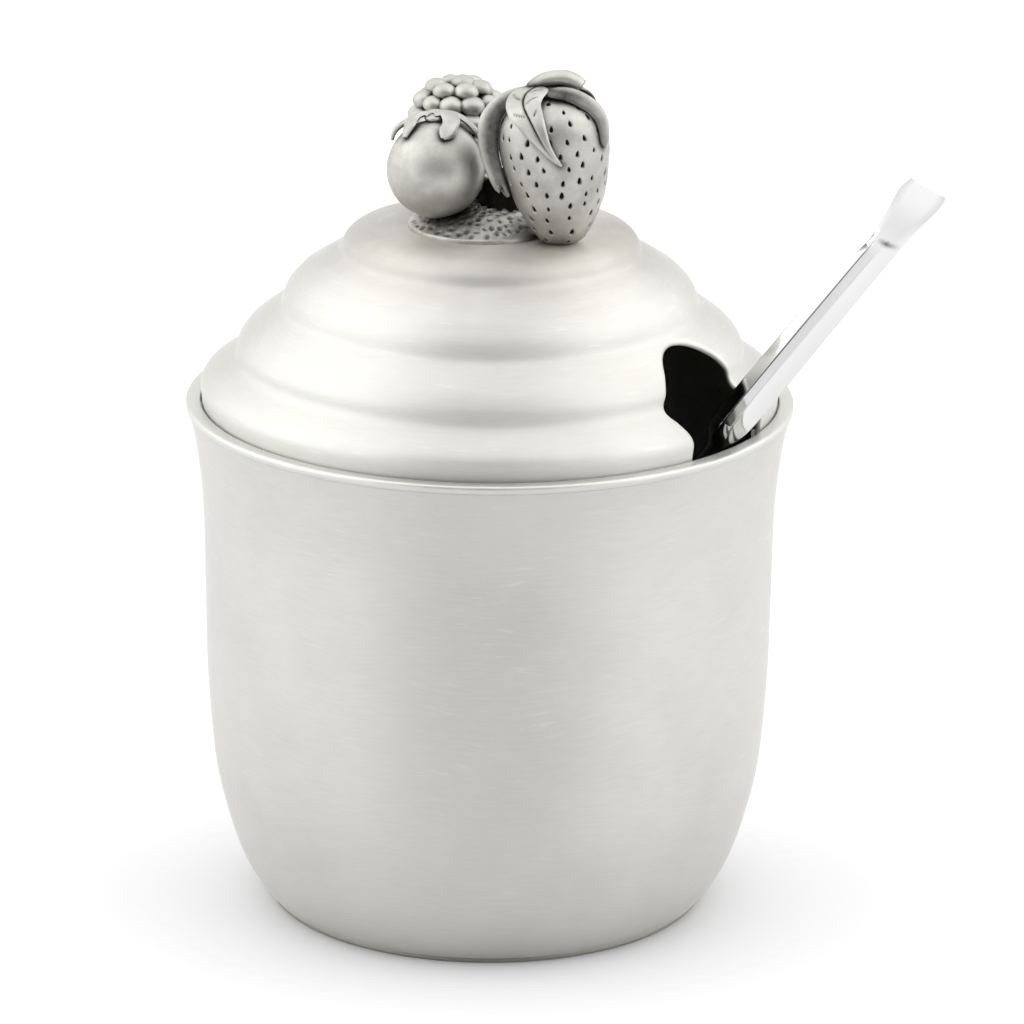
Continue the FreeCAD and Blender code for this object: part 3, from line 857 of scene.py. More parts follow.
def drupelet_tree(finish: bpy.types.Material) -> bpy.types.NodeTree:
    """Put a round drupelet at each point of a berry's lattice, over its solid core."""
    sizes = {"Drupelet": 1.5 * MM}
    tree = start_tree(KnobTree.DRUPELETS, sizes)
    given = add_node(tree, "NodeGroupInput")
    is_seed = add_node(tree, "GeometryNodeInputNamedAttribute", {"data_type": "FLOAT"}, {0: "seed_size"})
    chosen = add_node(tree, "ShaderNodeMath", {"operation": "GREATER_THAN"}, {
        0: is_seed.outputs[0], 1: 0.01})
    points = add_node(tree, "GeometryNodeMeshToPoints", links={
        "Mesh": given.outputs["Geometry"], "Selection": chosen.outputs[0]})
    ball = add_node(tree, "GeometryNodeMeshIcoSphere", links={
        "Radius": given.outputs["Drupelet"], "Subdivisions": 3})
    uneven = add_node(tree, "FunctionNodeRandomValue", {"data_type": "FLOAT_VECTOR"}, {
        0: (0.98, 0.98, 0.80), 1: (1.12, 1.12, 0.94), "Seed": SEED})
    scaled = add_node(tree, "ShaderNodeVectorMath", {"operation": "SCALE"}, {
        0: uneven.outputs[0], "Scale": is_seed.outputs[0]})
    put = add_node(tree, "GeometryNodeInstanceOnPoints", links={
        "Points": points.outputs[0], "Instance": ball.outputs["Mesh"], "Scale": scaled.outputs[0]})
    real = add_node(tree, "GeometryNodeRealizeInstances", links={0: put.outputs[0]})
    both = add_node(tree, "GeometryNodeJoinGeometry")
    tree.links.new(given.outputs["Geometry"], both.inputs[0])
    tree.links.new(real.outputs[0], both.inputs[0])
    smooth_all = add_node(tree, "GeometryNodeSetShadeSmooth", links={0: both.outputs[0]})
    done = add_node(tree, "GeometryNodeSetMaterial", links={0: smooth_all.outputs[0], "Material": finish})
    add_node(tree, "NodeGroupOutput", links={0: done.outputs[0]})
    return tree


@dataclass
class FruitKnob:
    """The cast knob: strawberry, round berry and bramble on a pebbled ground."""

    crown_z: float = 103.4
    ground_c: tuple[float, float] = (-1.4, -0.5)
    ground_r: float = 10.8
    ground_edge: float = 0.7
    ground_rise: float = 2.8
    peak_c: tuple[float, float] = (1.8, 0.6)
    peak_r: float = 4.2
    peak_h: float = 8.4
    berry_c: tuple[float, float, float] = (-8.1, -4.0, 112.8)
    berry_r: float = 7.15
    bramble_c: tuple[float, float, float] = (-5.0, 7.4, 114.6)
    bramble_r: tuple[float, float, float] = (7.3, 6.9, 9.2)
    bramble_blunt: float = 0.72  # below 1 the berry is squarer than an ellipsoid
    drupelet_r: float = 1.72
    drupelet_sink: float = 0.62  # depth of the core under the outline, in drupelet radii
    drupelet_pitch: float = 1.78  # distance between drupelets in a row, in drupelet radii
    drupelet_rows: int = 9
    straw_foot: tuple[float, float] = (10.6, -8.8)
    straw_lean: float = -6.0
    straw_side: tuple[tuple[float, float], ...] = (
        (0.05, -0.02), (2.3, 0.1), (3.6, 1.1), (5.2, 3.7), (6.45, 6.3), (7.2, 9.0), (7.75, 12.1),
        (8.05, 15.6), (7.75, 17.9), (6.9, 19.7), (5.0, 21.2), (2.5, 22.0), (0.05, 22.2))
    pit_depth: float = 0.42
    pit_length: float = 1.08
    pit_width: float = 0.60
    oxide: float = 0.78  # darkness where two pieces touch
    oxide_reach: float = 0.55  # how far it spreads from the touch, then the same on the ground
    ground_oxide_reach: float = 1.8
    oxide_search: float = 2.5  # pieces further apart than this leave none

    def strawberry_fruit(self) -> Fruit:
        """The strawberry's skin."""
        return Fruit((self.straw_foot[0], self.straw_foot[1], self.crown_z), self.straw_side, self.straw_lean)

    def berry_fruit(self) -> Fruit:
        """The round berry's skin."""
        r = self.berry_r
        side = tuple((max(r * math.sin(a), 0.03), -r * math.cos(a)) for a in np.linspace(0.0, math.pi, 19))
        return Fruit(self.berry_c, side)

    def build(self) -> None:
        """Make, darken and dress the knob's pieces."""
        finish = CastPewter("cast_pewter_oxidised").build()
        parts = {
            "finial_ground": self.make_ground(), "round_berry": self.make_berry(),
            "berry_sepals": self.make_sepals(), "bramble": self.make_bramble(finish),
            "strawberry": self.make_strawberry(), "strawberry_leaves": self.make_leaves(),
            "strawberry_stem": self.make_stem()}
        self.oxidise(parts)
        for node, piece in parts.items():
            dress(piece, finish, "lid", node)

    def make_ground(self) -> bpy.types.Object:
        """Make the mound: dimpled all over, with a peak where the three fruits meet, painted dark as shade.
        """
        rng = np.random.default_rng(SEED + 9)
        edge = self.crown_z + self.ground_edge
        mound = smooth([(self.ground_r - 0.25, edge), (self.ground_r * 0.72, edge + 1.5),
                        (self.ground_r * 0.38, edge + 2.5), (0.0, edge + self.ground_rise)], 60)
        spots = self.scatter(rng, self.ground_r - 0.7, 1.0)
        sizes = rng.uniform(0.26, 0.5, len(spots))
        slants = rng.uniform(0.0, math.pi, len(spots))

        def height(x: np.ndarray, y: np.ndarray) -> tuple[np.ndarray, np.ndarray]:
            """Height and darkness at places measured from the mound's middle."""
            reach = np.hypot(x, y)
            z = np.interp(reach, mound[::-1, 0], mound[::-1, 1])
            away = np.hypot(x + self.ground_c[0] - self.peak_c[0], y + self.ground_c[1] - self.peak_c[1])
            peak = self.crown_z + self.peak_h * np.sqrt(np.clip(1.0 - (away / self.peak_r) ** 2, 0.0, 1.0))
            z = np.maximum(z, peak)
            # painted shade: the peak is darkened to stand in for the shade in the gap behind the fruits
            dark = 0.9 * (peak > np.interp(reach, mound[::-1, 0], mound[::-1, 1]) - 0.4)
            for (px, py), size, slant in zip(spots, sizes, slants):
                dx, dy = x - px, y - py
                along = (dx * math.cos(slant) + dy * math.sin(slant)) / 1.35
                near = np.hypot(along, -dx * math.sin(slant) + dy * math.cos(slant)) / size
                dip = 1.0 - ease(near, 0.35, 1.15)
                z = z - 0.20 * dip
                dark = np.maximum(dark, 0.62 * dip)
            return z + 0.05 * np.sin(3.1 * x + 1.0) * np.sin(2.7 * y), dark

        draft = MeshDraft()
        turns = turns_of(240)

        def ring(r: float, z: float | None, down: float = 0.0) -> list[int]:
            """A ring at a given height, or on the dimpled top when z is None."""
            x, y = r * np.cos(turns), r * np.sin(turns)
            top, dark = height(x, y)
            level = top - down if z is None else np.full_like(x, z)
            return draft.row(np.stack([x + self.ground_c[0], y + self.ground_c[1], level], axis=1), dark)

        skirt = [[draft.point((*self.ground_c, self.crown_z))], ring(self.ground_r, self.crown_z),
                 ring(self.ground_r, edge - 0.25), ring(self.ground_r - 0.08, edge - 0.06)]
        tops = [ring(r, None) for r in np.linspace(self.ground_r - 0.28, 0.12, 88)]
        z, dark = height(np.zeros(1), np.zeros(1))
        draft.skin(skirt + tops + [[draft.point((*self.ground_c, float(z[0])), float(dark[0]))]], closed=True)
        return draft.build("ground_dimpled", crease=80.0)

    @staticmethod
    def scatter(rng: np.random.Generator, reach: float, gap: float) -> list[tuple[float, float]]:
        """Places inside a circle, at random but never closer than gap."""
        kept: list[tuple[float, float]] = []
        for _ in range(2600):
            x, y = rng.uniform(-reach, reach, 2)
            if math.hypot(x, y) < reach and all(math.hypot(x - a, y - b) > gap for a, b in kept):
                kept.append((float(x), float(y)))
        return kept

    def make_berry(self) -> bpy.types.Object:
        """Turn the smooth berry, a little uneven as a casting is."""
        fruit = self.berry_fruit()
        return self.fruit_mesh(fruit, 160, 90, "round_berry_cast", None)

    def fruit_mesh(self, fruit: Fruit, columns: int, rows: int, name: str,
                   carve: Callable[[np.ndarray, np.ndarray], tuple[np.ndarray, np.ndarray]] | None
                   ) -> bpy.types.Object:
        """Make a closed fruit skin.

        Args:
            fruit: the skin.
            columns: points round it.
            rows: points from top to tip.
            name: the piece's name.
            carve: gives the depth and darkness at arrays of azimuth and distance down, or None.

        Returns:
            The fruit.
        """
        down = np.linspace(0.0, fruit.length(), rows + 2)[1:-1]
        turns = np.linspace(0.0, 360.0, columns + 1)[:-1]
        grid_a, grid_d = np.meshgrid(turns, down)
        spots, normals = fruit.skin(grid_a, grid_d)
        swell = 0.05 * np.sin(np.radians(grid_a * 3.0 + 40.0)) * np.sin(grid_d * 0.35 + 0.6)
        depth, dark = (carve(grid_a, grid_d) if carve else (np.zeros_like(grid_a), np.zeros_like(grid_a)))
        spots = spots + normals * (swell - depth)[..., None]
        draft = MeshDraft()
        ids = [draft.row(spots[k], dark[k]) for k in range(rows)]
        ends = fruit.skin(np.array([0.0, 0.0]), np.array([0.0, fruit.length()]))[0]
        draft.skin([[draft.point(ends[0])]] + ids + [[draft.point(ends[1])]], closed=True)
        return draft.build(name, crease=75.0)

    def make_sepals(self) -> bpy.types.Object:
        """Lay five pointed sepals over the berry."""
        draft = MeshDraft()
        fruit = self.berry_fruit()
        start = (107.0, 1.0, 0.75, 1.35, 0.0, 0.0)
        sepals = (
            (start, (140.0, 2.3, 1.1, 1.35, 0.2, 0.0), (178.0, 3.4, 0.9, 1.1, 0.25, 0.0),
             (203.0, 4.5, 0.55, 0.8, 0.15, 0.0), (211.0, 5.5, 0.3, 0.35, 0.0, 0.0)),
            (start, (58.0, 1.5, 1.15, 1.4, 0.1, 0.0), (-20.0, 2.1, 0.95, 1.4, 0.2, 0.0),
             (-58.0, 3.4, 0.65, 1.25, 0.25, 0.0), (-73.0, 4.5, 0.42, 0.95, 0.15, 0.0),
             (-78.0, 5.0, 0.35, 0.35, 0.0, 0.0)),
            (start, (48.0, 2.0, 1.2, 1.35, 0.2, 0.0), (24.0, 4.2, 1.2, 1.2, 0.3, 0.0),
             (12.0, 6.4, 0.8, 0.95, 0.2, 0.0), (4.0, 8.6, 0.35, 0.3, 0.0, 0.0)),
            (start, (135.0, 3.0, 1.1, 1.2, 0.2, 0.0), (158.0, 4.9, 1.05, 1.0, 0.25, 0.0),
             (168.0, 6.4, 0.9, 0.6, 0.1, 0.0), (172.0, 7.2, 0.5, 0.3, 0.0, 0.0)),
            (start, (88.0, 3.4, 1.2, 0.9, 0.1, 0.0), (80.0, 5.4, 0.7, 0.7, 0.1, 0.0),
             (76.0, 6.8, 0.3, 0.25, 0.0, 0.0)))
        for stations in sepals:
            Leaf(stations, thickness=0.8, rows=40, columns=12).add_to(draft, fruit)
        self.add_cap(draft, fruit, 107.0, 0.9, 1.5)
        return draft.build("berry_sepals_cast", crease=60.0)

    def add_cap(self, draft: MeshDraft, fruit: Fruit, azimuth: float, down: float, radius: float) -> None:
        """Add the small button where sepals or leaves join."""
        centre, _ = fruit.skin(np.array([azimuth]), np.array([down]))
        rows = []
        for a in np.linspace(0.0, math.pi, 9)[1:-1]:
            rows.append(draft.row([centre[0] + np.array([
                radius * math.sin(a) * math.cos(t), radius * math.sin(a) * math.sin(t),
                0.35 + 0.65 * math.cos(a)]) for t in turns_of(20)]))
        top = draft.point(centre[0] + np.array([0.0, 0.0, 1.0]))
        low = draft.point(centre[0] + np.array([0.0, 0.0, -0.3]))
        draft.skin([[top]] + rows + [[low]], closed=True)

    def make_bramble(self, finish: bpy.types.Material) -> bpy.types.Object:
        """Set staggered rows of drupelets on a solid core."""
        rx, ry, rz = (r - self.drupelet_r * self.drupelet_sink for r in self.bramble_r)
        cx, cy, cz = self.bramble_c
        draft = MeshDraft()
        rows = []
        for a in np.linspace(0.0, math.pi, 25)[1:-1]:
            wide = math.sin(a) ** self.bramble_blunt
            rows.append(draft.row([(cx + rx * wide * math.cos(t), cy + ry * wide * math.sin(t),
                                    cz + rz * math.cos(a)) for t in turns_of(48)]))
        top, low = draft.point((cx, cy, cz + rz)), draft.point((cx, cy, cz - rz))
        draft.skin([[top]] + rows + [[low]], closed=True)
        core = len(draft.points)
        pitch = self.drupelet_pitch * self.drupelet_r
        for k in range(self.drupelet_rows):
            a = math.pi * (k + 0.12) / (self.drupelet_rows - 0.4)
            wide = math.sin(a) ** self.bramble_blunt
            around = TAU * (rx + ry) / 2 * wide
            count = max(1, round(around / pitch))
            for i in range(count):
                t = TAU * (i + 0.5 * (k % 2)) / count + 0.37 * k
                draft.point((cx + rx * wide * math.cos(t), cy + ry * wide * math.sin(t),
                             cz + rz * math.cos(a)))
        piece = draft.build("bramble_cast")
        seeds = np.zeros(len(draft.points), np.float32)
        rng = np.random.default_rng(SEED)
        seeds[core:] = rng.uniform(0.92, 1.08, len(draft.points) - core)
        piece.data.attributes.new("seed_size", "FLOAT", "POINT").data.foreach_set("value", seeds)
        run_tree(piece, drupelet_tree(finish), {"Drupelet": self.drupelet_r * MM})
        loose_free(piece.data)
        spots = places(piece.data)
        level = np.clip((spots[:, 2] - cz) / (rz + 0.9), -0.999, 0.999)
        wide = np.sqrt(1.0 - level ** 2) ** self.bramble_blunt
        side = np.hypot((spots[:, 0] - cx) / rx, (spots[:, 1] - cy) / ry) / np.maximum(wide, 0.05)
        above = np.hypot(np.hypot((spots[:, 0] - cx) / rx, (spots[:, 1] - cy) / ry), (spots[:, 2] - cz) / rz)
        reach = np.where(np.abs(level) > 0.8, above, side)
        dark = 1.0 - ease(reach, 0.99, 1.13)
        darken(piece.data, dark)
        return piece

    def make_strawberry(self) -> bpy.types.Object:
        """Make the strawberry with its seed pits pressed in."""
        fruit = self.strawberry_fruit()
        length = fruit.length()
        rng = np.random.default_rng(SEED + 4)
        line = fruit.meridian()
        at = run_along(line)
        pits = []
        for k, down in enumerate(np.arange(4.0, length - 1.4, 2.15)):
            r = float(np.interp(down, at, line[:, 0]))
            count = max(3, round(TAU * r / 3.0))
            for i in range(count):
                pits.append((360.0 * (i + 0.5 * (k % 2)) / count + rng.uniform(-7.0, 7.0),
                             down + rng.uniform(-0.45, 0.45), rng.uniform(0.72, 1.15),
                             rng.uniform(-0.35, 0.35)))

        def carve(azimuth: np.ndarray, down: np.ndarray) -> tuple[np.ndarray, np.ndarray]:
            """Depth and darkness of the pits."""
            depth, dark = np.zeros_like(azimuth), np.zeros_like(azimuth)
            radius = np.interp(down, at, line[:, 0])
            for centre, level, size, slant in pits:
                rows = np.where(np.abs(down[:, 0] - level) < 1.2)[0]
                if not len(rows):
                    continue
                part = slice(rows[0], rows[-1] + 1)
                turn = (azimuth[part] - centre + 180.0) % 360.0 - 180.0
                across = np.radians(turn) * radius[part]
                along = (down[part] - level) / (self.pit_length * size * 0.5)
                drop = 1.0 + 0.45 * np.clip(along, -1.2, 1)  # wider at the lower end
                across = (across - slant * along * 0.3) / (self.pit_width * size * 0.5 * drop)
                reach = np.sqrt(across ** 2 + along ** 2)
                depth[part] = np.maximum(depth[part], self.pit_depth * size * (1 - ease(reach, 0.35, 1.15)))
                dark[part] = np.maximum(dark[part], 1 - ease(reach, 0.62, 1.12))
                lip = np.exp(-((reach - 1.35) / 0.28) ** 2) * 0.05
                depth[part] -= lip * (depth[part] < 0.02)
            return depth, dark

        return self.fruit_mesh(fruit, 420, 225, "strawberry_cast", carve)

    def make_leaves(self) -> bpy.types.Object:
        """Lay the strawberry's leaves: left, front and right ones as they fall, two behind."""
        draft = MeshDraft()
        fruit = self.strawberry_fruit()
        # the left and right leaves carry painted shade on their faces, with one edge left light
        left = Leaf(((-176.0, 2.2, 0.7, 1.5, 0.0, 10.0), (-178.0, 5.0, 1.1, 1.6, 0.1, 30.0),
                     (-175.0, 8.0, 1.55, 1.65, 0.1, 52.0), (-173.0, 11.5, 1.65, 1.6, 0.1, 60.0),
                     (-172.0, 15.5, 1.45, 1.35, 0.1, 58.0), (-171.0, 18.0, 0.95, 0.95, 0.05, 45.0),
                     (-170.0, 19.6, 0.45, 0.4, 0.0, 30.0)), thickness=0.95, shade=0.72, light_rim=1)
        front = Leaf(((-166.0, 1.0, 1.0, 2.5, 0.0, 0.0), (-147.0, 3.2, 1.15, 3.0, 0.1, 4.0),
                      (-124.0, 6.2, 1.0, 2.5, 0.15, 4.0), (-108.0, 8.6, 0.75, 1.75, 0.15, 0.0),
                      (-98.0, 11.2, 0.6, 0.95, 0.1, 0.0), (-90.0, 13.0, 0.45, 0.5, 0.05, 0.0),
                      (-84.0, 14.1, 0.25, 0.2, 0.0, 0.0)), thickness=0.7, veins=0.17)
        right = Leaf(((-88.0, 1.6, 0.7, 1.5, 0.0, 0.0), (-50.0, 3.2, 0.75, 1.5, 0.05, -10.0),
                      (-33.0, 5.8, 0.6, 1.45, 0.1, -14.0), (-27.0, 8.8, 0.5, 1.25, 0.1, -14.0),
                      (-29.0, 11.6, 0.35, 0.9, 0.05, -8.0), (-28.0, 13.0, 0.2, 0.25, 0.0, 0.0)),
                     thickness=0.85, shade=0.7, light_rim=-1)
        back_right = Leaf(((45.0, 0.5, 0.7, 1.9, 0.0, 0.0), (46.0, 4.5, 0.7, 2.2, 0.2, 0.0),
                           (50.0, 9.0, 0.55, 1.9, 0.2, 0.0), (54.0, 13.5, 0.25, 0.25, 0.0, 0.0)),
                          thickness=0.65, veins=0.14)
        back_left = Leaf(((125.0, 0.5, 0.7, 1.9, 0.0, 0.0), (124.0, 4.5, 0.75, 2.3, 0.2, 0.0),
                          (120.0, 9.0, 0.6, 2.0, 0.2, 0.0), (114.0, 14.0, 0.25, 0.25, 0.0, 0.0)),
                         thickness=0.65, veins=0.14)
        for leaf in (left, front, right, back_right, back_left):
            leaf.add_to(draft, fruit)
        self.add_cap(draft, fruit, 0.0, 0.1, 1.8)
        return draft.build("strawberry_leaves_cast", crease=60.0)

    def make_stem(self) -> bpy.types.Object:
        """Sweep the short bent stem, cut off square at its end."""
        path = smooth([(5.0, -8.0, 125.7), (6.5, -8.1, 126.8), (8.7, -8.1, 127.5), (11.0, -8.1, 127.45),
                       (12.9, -8.1, 126.4)], 40)
        sizes = np.interp(np.linspace(0, 1, 40), [0.0, 0.08, 0.35, 0.7, 0.94, 1.0],
                          [0.35, 0.85, 1.2, 1.3, 1.25, 1.12])
        forward = np.gradient(path, axis=0)
        forward /= np.linalg.norm(forward, axis=1)[:, None]
        side = np.array([0.0, 1.0, 0.0])
        draft = MeshDraft()
        rows = []
        for k in range(40):
            up = np.cross(forward[k], -side)
            rows.append(draft.row([path[k] + sizes[k] * (1.15 * side * math.cos(a) + 0.92 * up * math.sin(a))
                                   for a in turns_of(24)], [0.8 if k == 39 else 0.0] * 24))
        first = draft.point(path[0] - forward[0] * 0.2)
        last = draft.point(path[-1] - forward[-1] * 0.12, 1.0)
        draft.skin([[first]] + rows + [[last]], closed=True)
        return draft.build("strawberry_stem_cast", crease=55.0)

    def oxidise(self, parts: dict[str, bpy.types.Object]) -> None:
        """Leave oxide where the knob's pieces come close to each other.

        Args:
            parts: the knob's pieces by node.
        """
        solids = {n: BVHTree.FromPolygons([v.co[:] for v in p.data.vertices],
                                          [f.vertices[:] for f in p.data.polygons]) for n, p in parts.items()}
        pairs = {"strawberry": ("strawberry_leaves", "strawberry_stem", "finial_ground"),
                 "round_berry": ("berry_sepals", "finial_ground", "bramble", "strawberry_leaves"),
                 "bramble": ("round_berry", "berry_sepals", "strawberry"),
                 "strawberry_leaves": ("strawberry_stem",),
                 "strawberry_stem": ("strawberry_leaves",),
                 "berry_sepals": ("bramble",),
                 "finial_ground": ("round_berry", "strawberry", "bramble")}
        reach = {"finial_ground": self.ground_oxide_reach}
        for node, near in pairs.items():
            mesh = parts[node].data
            gap = np.full(len(mesh.vertices), 9.0)
            for other in near:
                tree = solids[other]
                for i, vertex in enumerate(mesh.vertices):
                    hit = tree.find_nearest(vertex.co, self.oxide_search * MM)
                    if hit[3] is not None:
                        gap[i] = min(gap[i], hit[3] / MM)
            darken(mesh, self.oxide * np.exp(-(gap / reach.get(node, self.oxide_reach)) ** 1.3))


def loose_free(mesh: bpy.types.Mesh) -> None:
    """Remove points that no face uses."""
    work = bmesh.new()
    work.from_mesh(mesh)
    bmesh.ops.delete(work, geom=[v for v in work.verts if not v.link_faces], context="VERTS")
    work.to_mesh(mesh)
    work.free()


@dataclass
class Spoon:
    """The polished spoon, laid on its side with its handle over the rim."""

    azimuth: float = -33.0
    pitch: float = 52.45
    roll: float = 55.4
    rim_r: float = 42.8
    axis_z: float = 81.4
    bowl_u: float = -76.2
    bowl_a: float = 21.9
    bowl_b: float = 11.9
    bowl_c: float = 6.3
    sheet: float = 1.0
    # painted reflection of the dark room at the five points of each corner, along the stem
    painted_reflection_share: tuple[tuple[float, ...], ...] = (
        (0.4, 0.3, 0.2, 0.1, 0.05), (0.15, 0.9, 1.0, 0.6, 0.28), (0.22, 0.25, 0.2, 0.05, 0.0),
        (0.02, 0.1, 0.2, 0.2, 0.2), (0.2,) * 5, (0.2,) * 5)
    # distance along the handle, corner rounding, then six corners (across, front)
    sections: tuple[tuple[float, float, tuple[tuple[float, float], ...]], ...] = (
        (-57.5, 0.5, ((-3.2, -1.2), (-2.0, -2.2), (0.0, -2.6), (2.6, -1.9), (2.4, -1.1), (-1.6, -0.9))),
        (-52.0, 0.5, ((-2.4, -0.3), (-1.6, -1.3), (0.0, -1.7), (2.2, -1.0), (1.9, 0.1), (-1.2, 0.5))),
        (-44.0, 0.5, ((-1.9, 0.1), (-1.2, -1.0), (0.1, -1.4), (1.9, -0.7), (1.6, 0.7), (-0.9, 1.1))),
        (-30.0, 0.5, ((-1.5, 0.1), (-0.9, -1.0), (0.2, -1.3), (1.8, -0.6), (1.5, 0.7), (-0.6, 1.1))),
        (-15.0, 0.5, ((-0.9, 0.3), (-0.4, -0.7), (0.4, -1.0), (1.6, -0.4), (1.3, 0.7), (-0.2, 1.0))),
        (-9.0, 0.5, ((-0.9, 0.5), (-0.4, -0.5), (0.4, -0.7), (1.3, -0.3), (1.4, 0.7), (-0.2, 1.1))),
        (-7.0, 0.5, ((-0.9, 0.5), (-0.3, -0.4), (0.5, -0.65), (0.9, -0.6), (1.4, 0.7), (-0.2, 1.1))),
        (-6.3, 0.35, ((-1.3, 0.6), (-0.5, -0.45), (0.6, -0.8), (0.9, -0.78), (1.8, 0.5), (-0.5, 1.15))),
        (-5.4, 0.2, ((-1.8, 0.6), (-1.0, -0.6), (0.75, -1.0), (1.05, -0.98), (2.2, 0.4), (-1.1, 1.25))),
        (-4.2, 0.12, ((-2.3, 0.6), (-1.4, -0.75), (0.6, -1.2), (1.5, -1.0), (2.5, 0.3), (-1.7, 1.3))),
        (-3.2, 0.10, ((-2.55, 0.6), (-1.5, -0.85), (0.2, -1.28), (2.0, -0.85), (2.6, 0.3), (-1.9, 1.35))),
        (-1.5, 0.08, ((-2.8, 0.6), (-1.6, -0.95), (-0.25, -1.35), (2.5, -0.65), (2.6, 0.4), (-2.1, 1.4))),
        (1.0, 0.06, ((-2.9, 0.6), (-1.6, -0.9), (-0.4, -1.33), (2.7, -0.52), (2.5, 0.8), (-2.2, 1.4))),
        (4.0, 0.06, ((-2.9, 0.6), (-1.6, -0.9), (-0.4, -1.3), (2.75, -0.5), (2.4, 1.0), (-2.2, 1.4))),
        (20.0, 0.10, ((-2.7, 0.6), (-1.5, -0.9), (-0.2, -1.25), (2.75, -0.5), (2.4, 1.0), (-2.1, 1.3))),
        (32.0, 0.10, ((-1.8, 0.5), (-1.25, -0.6), (0.1, -1.15), (2.8, -0.45), (2.5, 0.85), (-1.5, 1.1))),
        (37.0, 0.10, ((-1.45, 0.45), (-1.1, -0.45), (0.3, -1.05), (2.9, -0.4), (2.6, 0.75), (-1.2, 0.95))),
        (42.0, 0.10, ((-2.1, 0.4), (-1.2, -0.35), (1.3, -0.85), (3.1, -0.3), (2.9, 0.6), (-1.8, 0.7))),
        (46.5, 0.12, ((-2.9, 0.25), (-1.5, -0.3), (1.9, -0.55), (3.6, -0.25), (3.45, 0.35), (-2.7, 0.5))),
        (48.2, 0.20, ((-2.75, 0.2), (-1.4, -0.3), (1.7, -0.4), (3.55, -0.25), (3.4, 0.25), (-2.5, 0.4))),
        (48.85, 0.40, ((-2.6, 0.15), (-1.3, -0.2), (1.5, -0.25), (3.4, -0.15), (3.3, 0.15), (-2.3, 0.25))))

    def build(self) -> None:
        """Make and dress the handle and the bowl."""
        finish = PolishedSteel("stainless_steel_polished").build()
        dress(self.make_handle(), finish, "spoon", "spoon_handle")
        dress(self.make_bowl(), finish, "spoon", "spoon_bowl")

    def frame(self) -> tuple[np.ndarray, np.ndarray, np.ndarray, np.ndarray]:
        """Origin, along, across and front directions of the spoon in the row frame."""
        a, p, r = (math.radians(v) for v in (self.azimuth, self.pitch, self.roll))
        out, side = np.array([math.cos(a), math.sin(a), 0.0]), np.array([-math.sin(a), math.cos(a), 0.0])
        up = np.array([0.0, 0.0, 1.0])
        along = out * math.cos(p) + up * math.sin(p)
        under = out * math.sin(p) - up * math.cos(p)
        across = under * math.sin(r) + side * math.cos(r)
        return out * self.rim_r + up * self.axis_z, along, across, np.cross(along, across)

    def place(self, u: float, across: float, front: float) -> np.ndarray:
        """Row-frame place of a point given in the spoon's own directions."""
        origin, along, wide, out = self.frame()
        return origin + along * u + wide * across + out * front

    @staticmethod
    def cut_depth(corner: int, u: float) -> float:
        """How deep the chased line along a corner is at u, with a pit where the end opens out."""
        if corner not in (1, 2):
            return 0.0
        line = (0.55 if corner == 1 else 0.22) * float(ease(u, -5.5, -2.5) * (1.0 - ease(u, 34.0, 38.0)))
        pit = 0.9 * math.exp(-((u - 38.0) / 0.45) ** 2) if corner == 2 else 0.0
        return max(line, pit)

    def make_handle(self) -> bpy.types.Object:
        """Loft the faceted stem from its fishtail end down to the neck."""
        count = 320
        flat = [(u, q, *[v for corner in corners for v in corner]) for u, q, corners in self.sections]
        keys = np.array(flat)
        levels = np.linspace(keys[0, 0], keys[-1, 0], count)
        values = np.stack([np.interp(levels, keys[:, 0], keys[:, i]) for i in range(keys.shape[1])], axis=1)
        for _ in range(3):
            values[1:-1, 1:] = 0.25 * values[:-2, 1:] + 0.5 * values[1:-1, 1:] + 0.25 * values[2:, 1:]
        origin, along, wide, out = self.frame()
        draft = MeshDraft()
        rows = []
        for line in values:
            u, q = line[0], line[1]
            corners = line[2:].reshape(6, 2)
            ring, dark = [], []
            # painted reflection: these set how much grey goes on each corner, with a dark spot at the pit and
            # lighter grey on the fan and the tip
            stem = float(ease(u, -7.0, -4.0) * (1.0 - ease(u, 34.0, 39.0)))
            flare = float(ease(u, 36.0, 41.0) * (1.0 - ease(u, 41.0, 47.0)))
            tip = float(ease(u, 40.0, 45.0))
            pit = math.exp(-((u - 38.0) / 0.45) ** 2)
            for i in range(6):
                reflected_grey = [v * stem for v in self.painted_reflection_share[i]]
                if i in (1, 2):
                    reflected_grey = [max(v, pit if i == 2 else 0.0, 0.2 * flare) for v in reflected_grey]
                if i in (0, 3):
                    reflected_grey = [max(v, 0.22 * tip) for v in reflected_grey]
                dark += reflected_grey
                before, here, after = corners[i - 1], corners[i], corners[(i + 1) % 6]
                start, end = here + (before - here) * q, here + (after - here) * q
                here = here * (1.0 - self.cut_depth(i, float(u)) / np.linalg.norm(here))
                for t in (0.0, 0.25, 0.5, 0.75, 1.0):
                    ring.append((1 - t) ** 2 * start + 2 * t * (1 - t) * here + t * t * end)
            rows.append(draft.row([origin + along * u + wide * c[0] + out * c[1] for c in ring], dark))
        draft.skin(rows, closed=True)
        for row in (rows[0], rows[-1]):
            draft.faces.append(tuple(row))
        return draft.build("spoon_handle_faceted", crease=60.0)

    def make_bowl(self) -> bpy.types.Object:
        """Make the egg-shaped dish with a rounded lip."""
        origin, along, wide, out = self.frame()
        draft = MeshDraft()
        turns = turns_of(96)

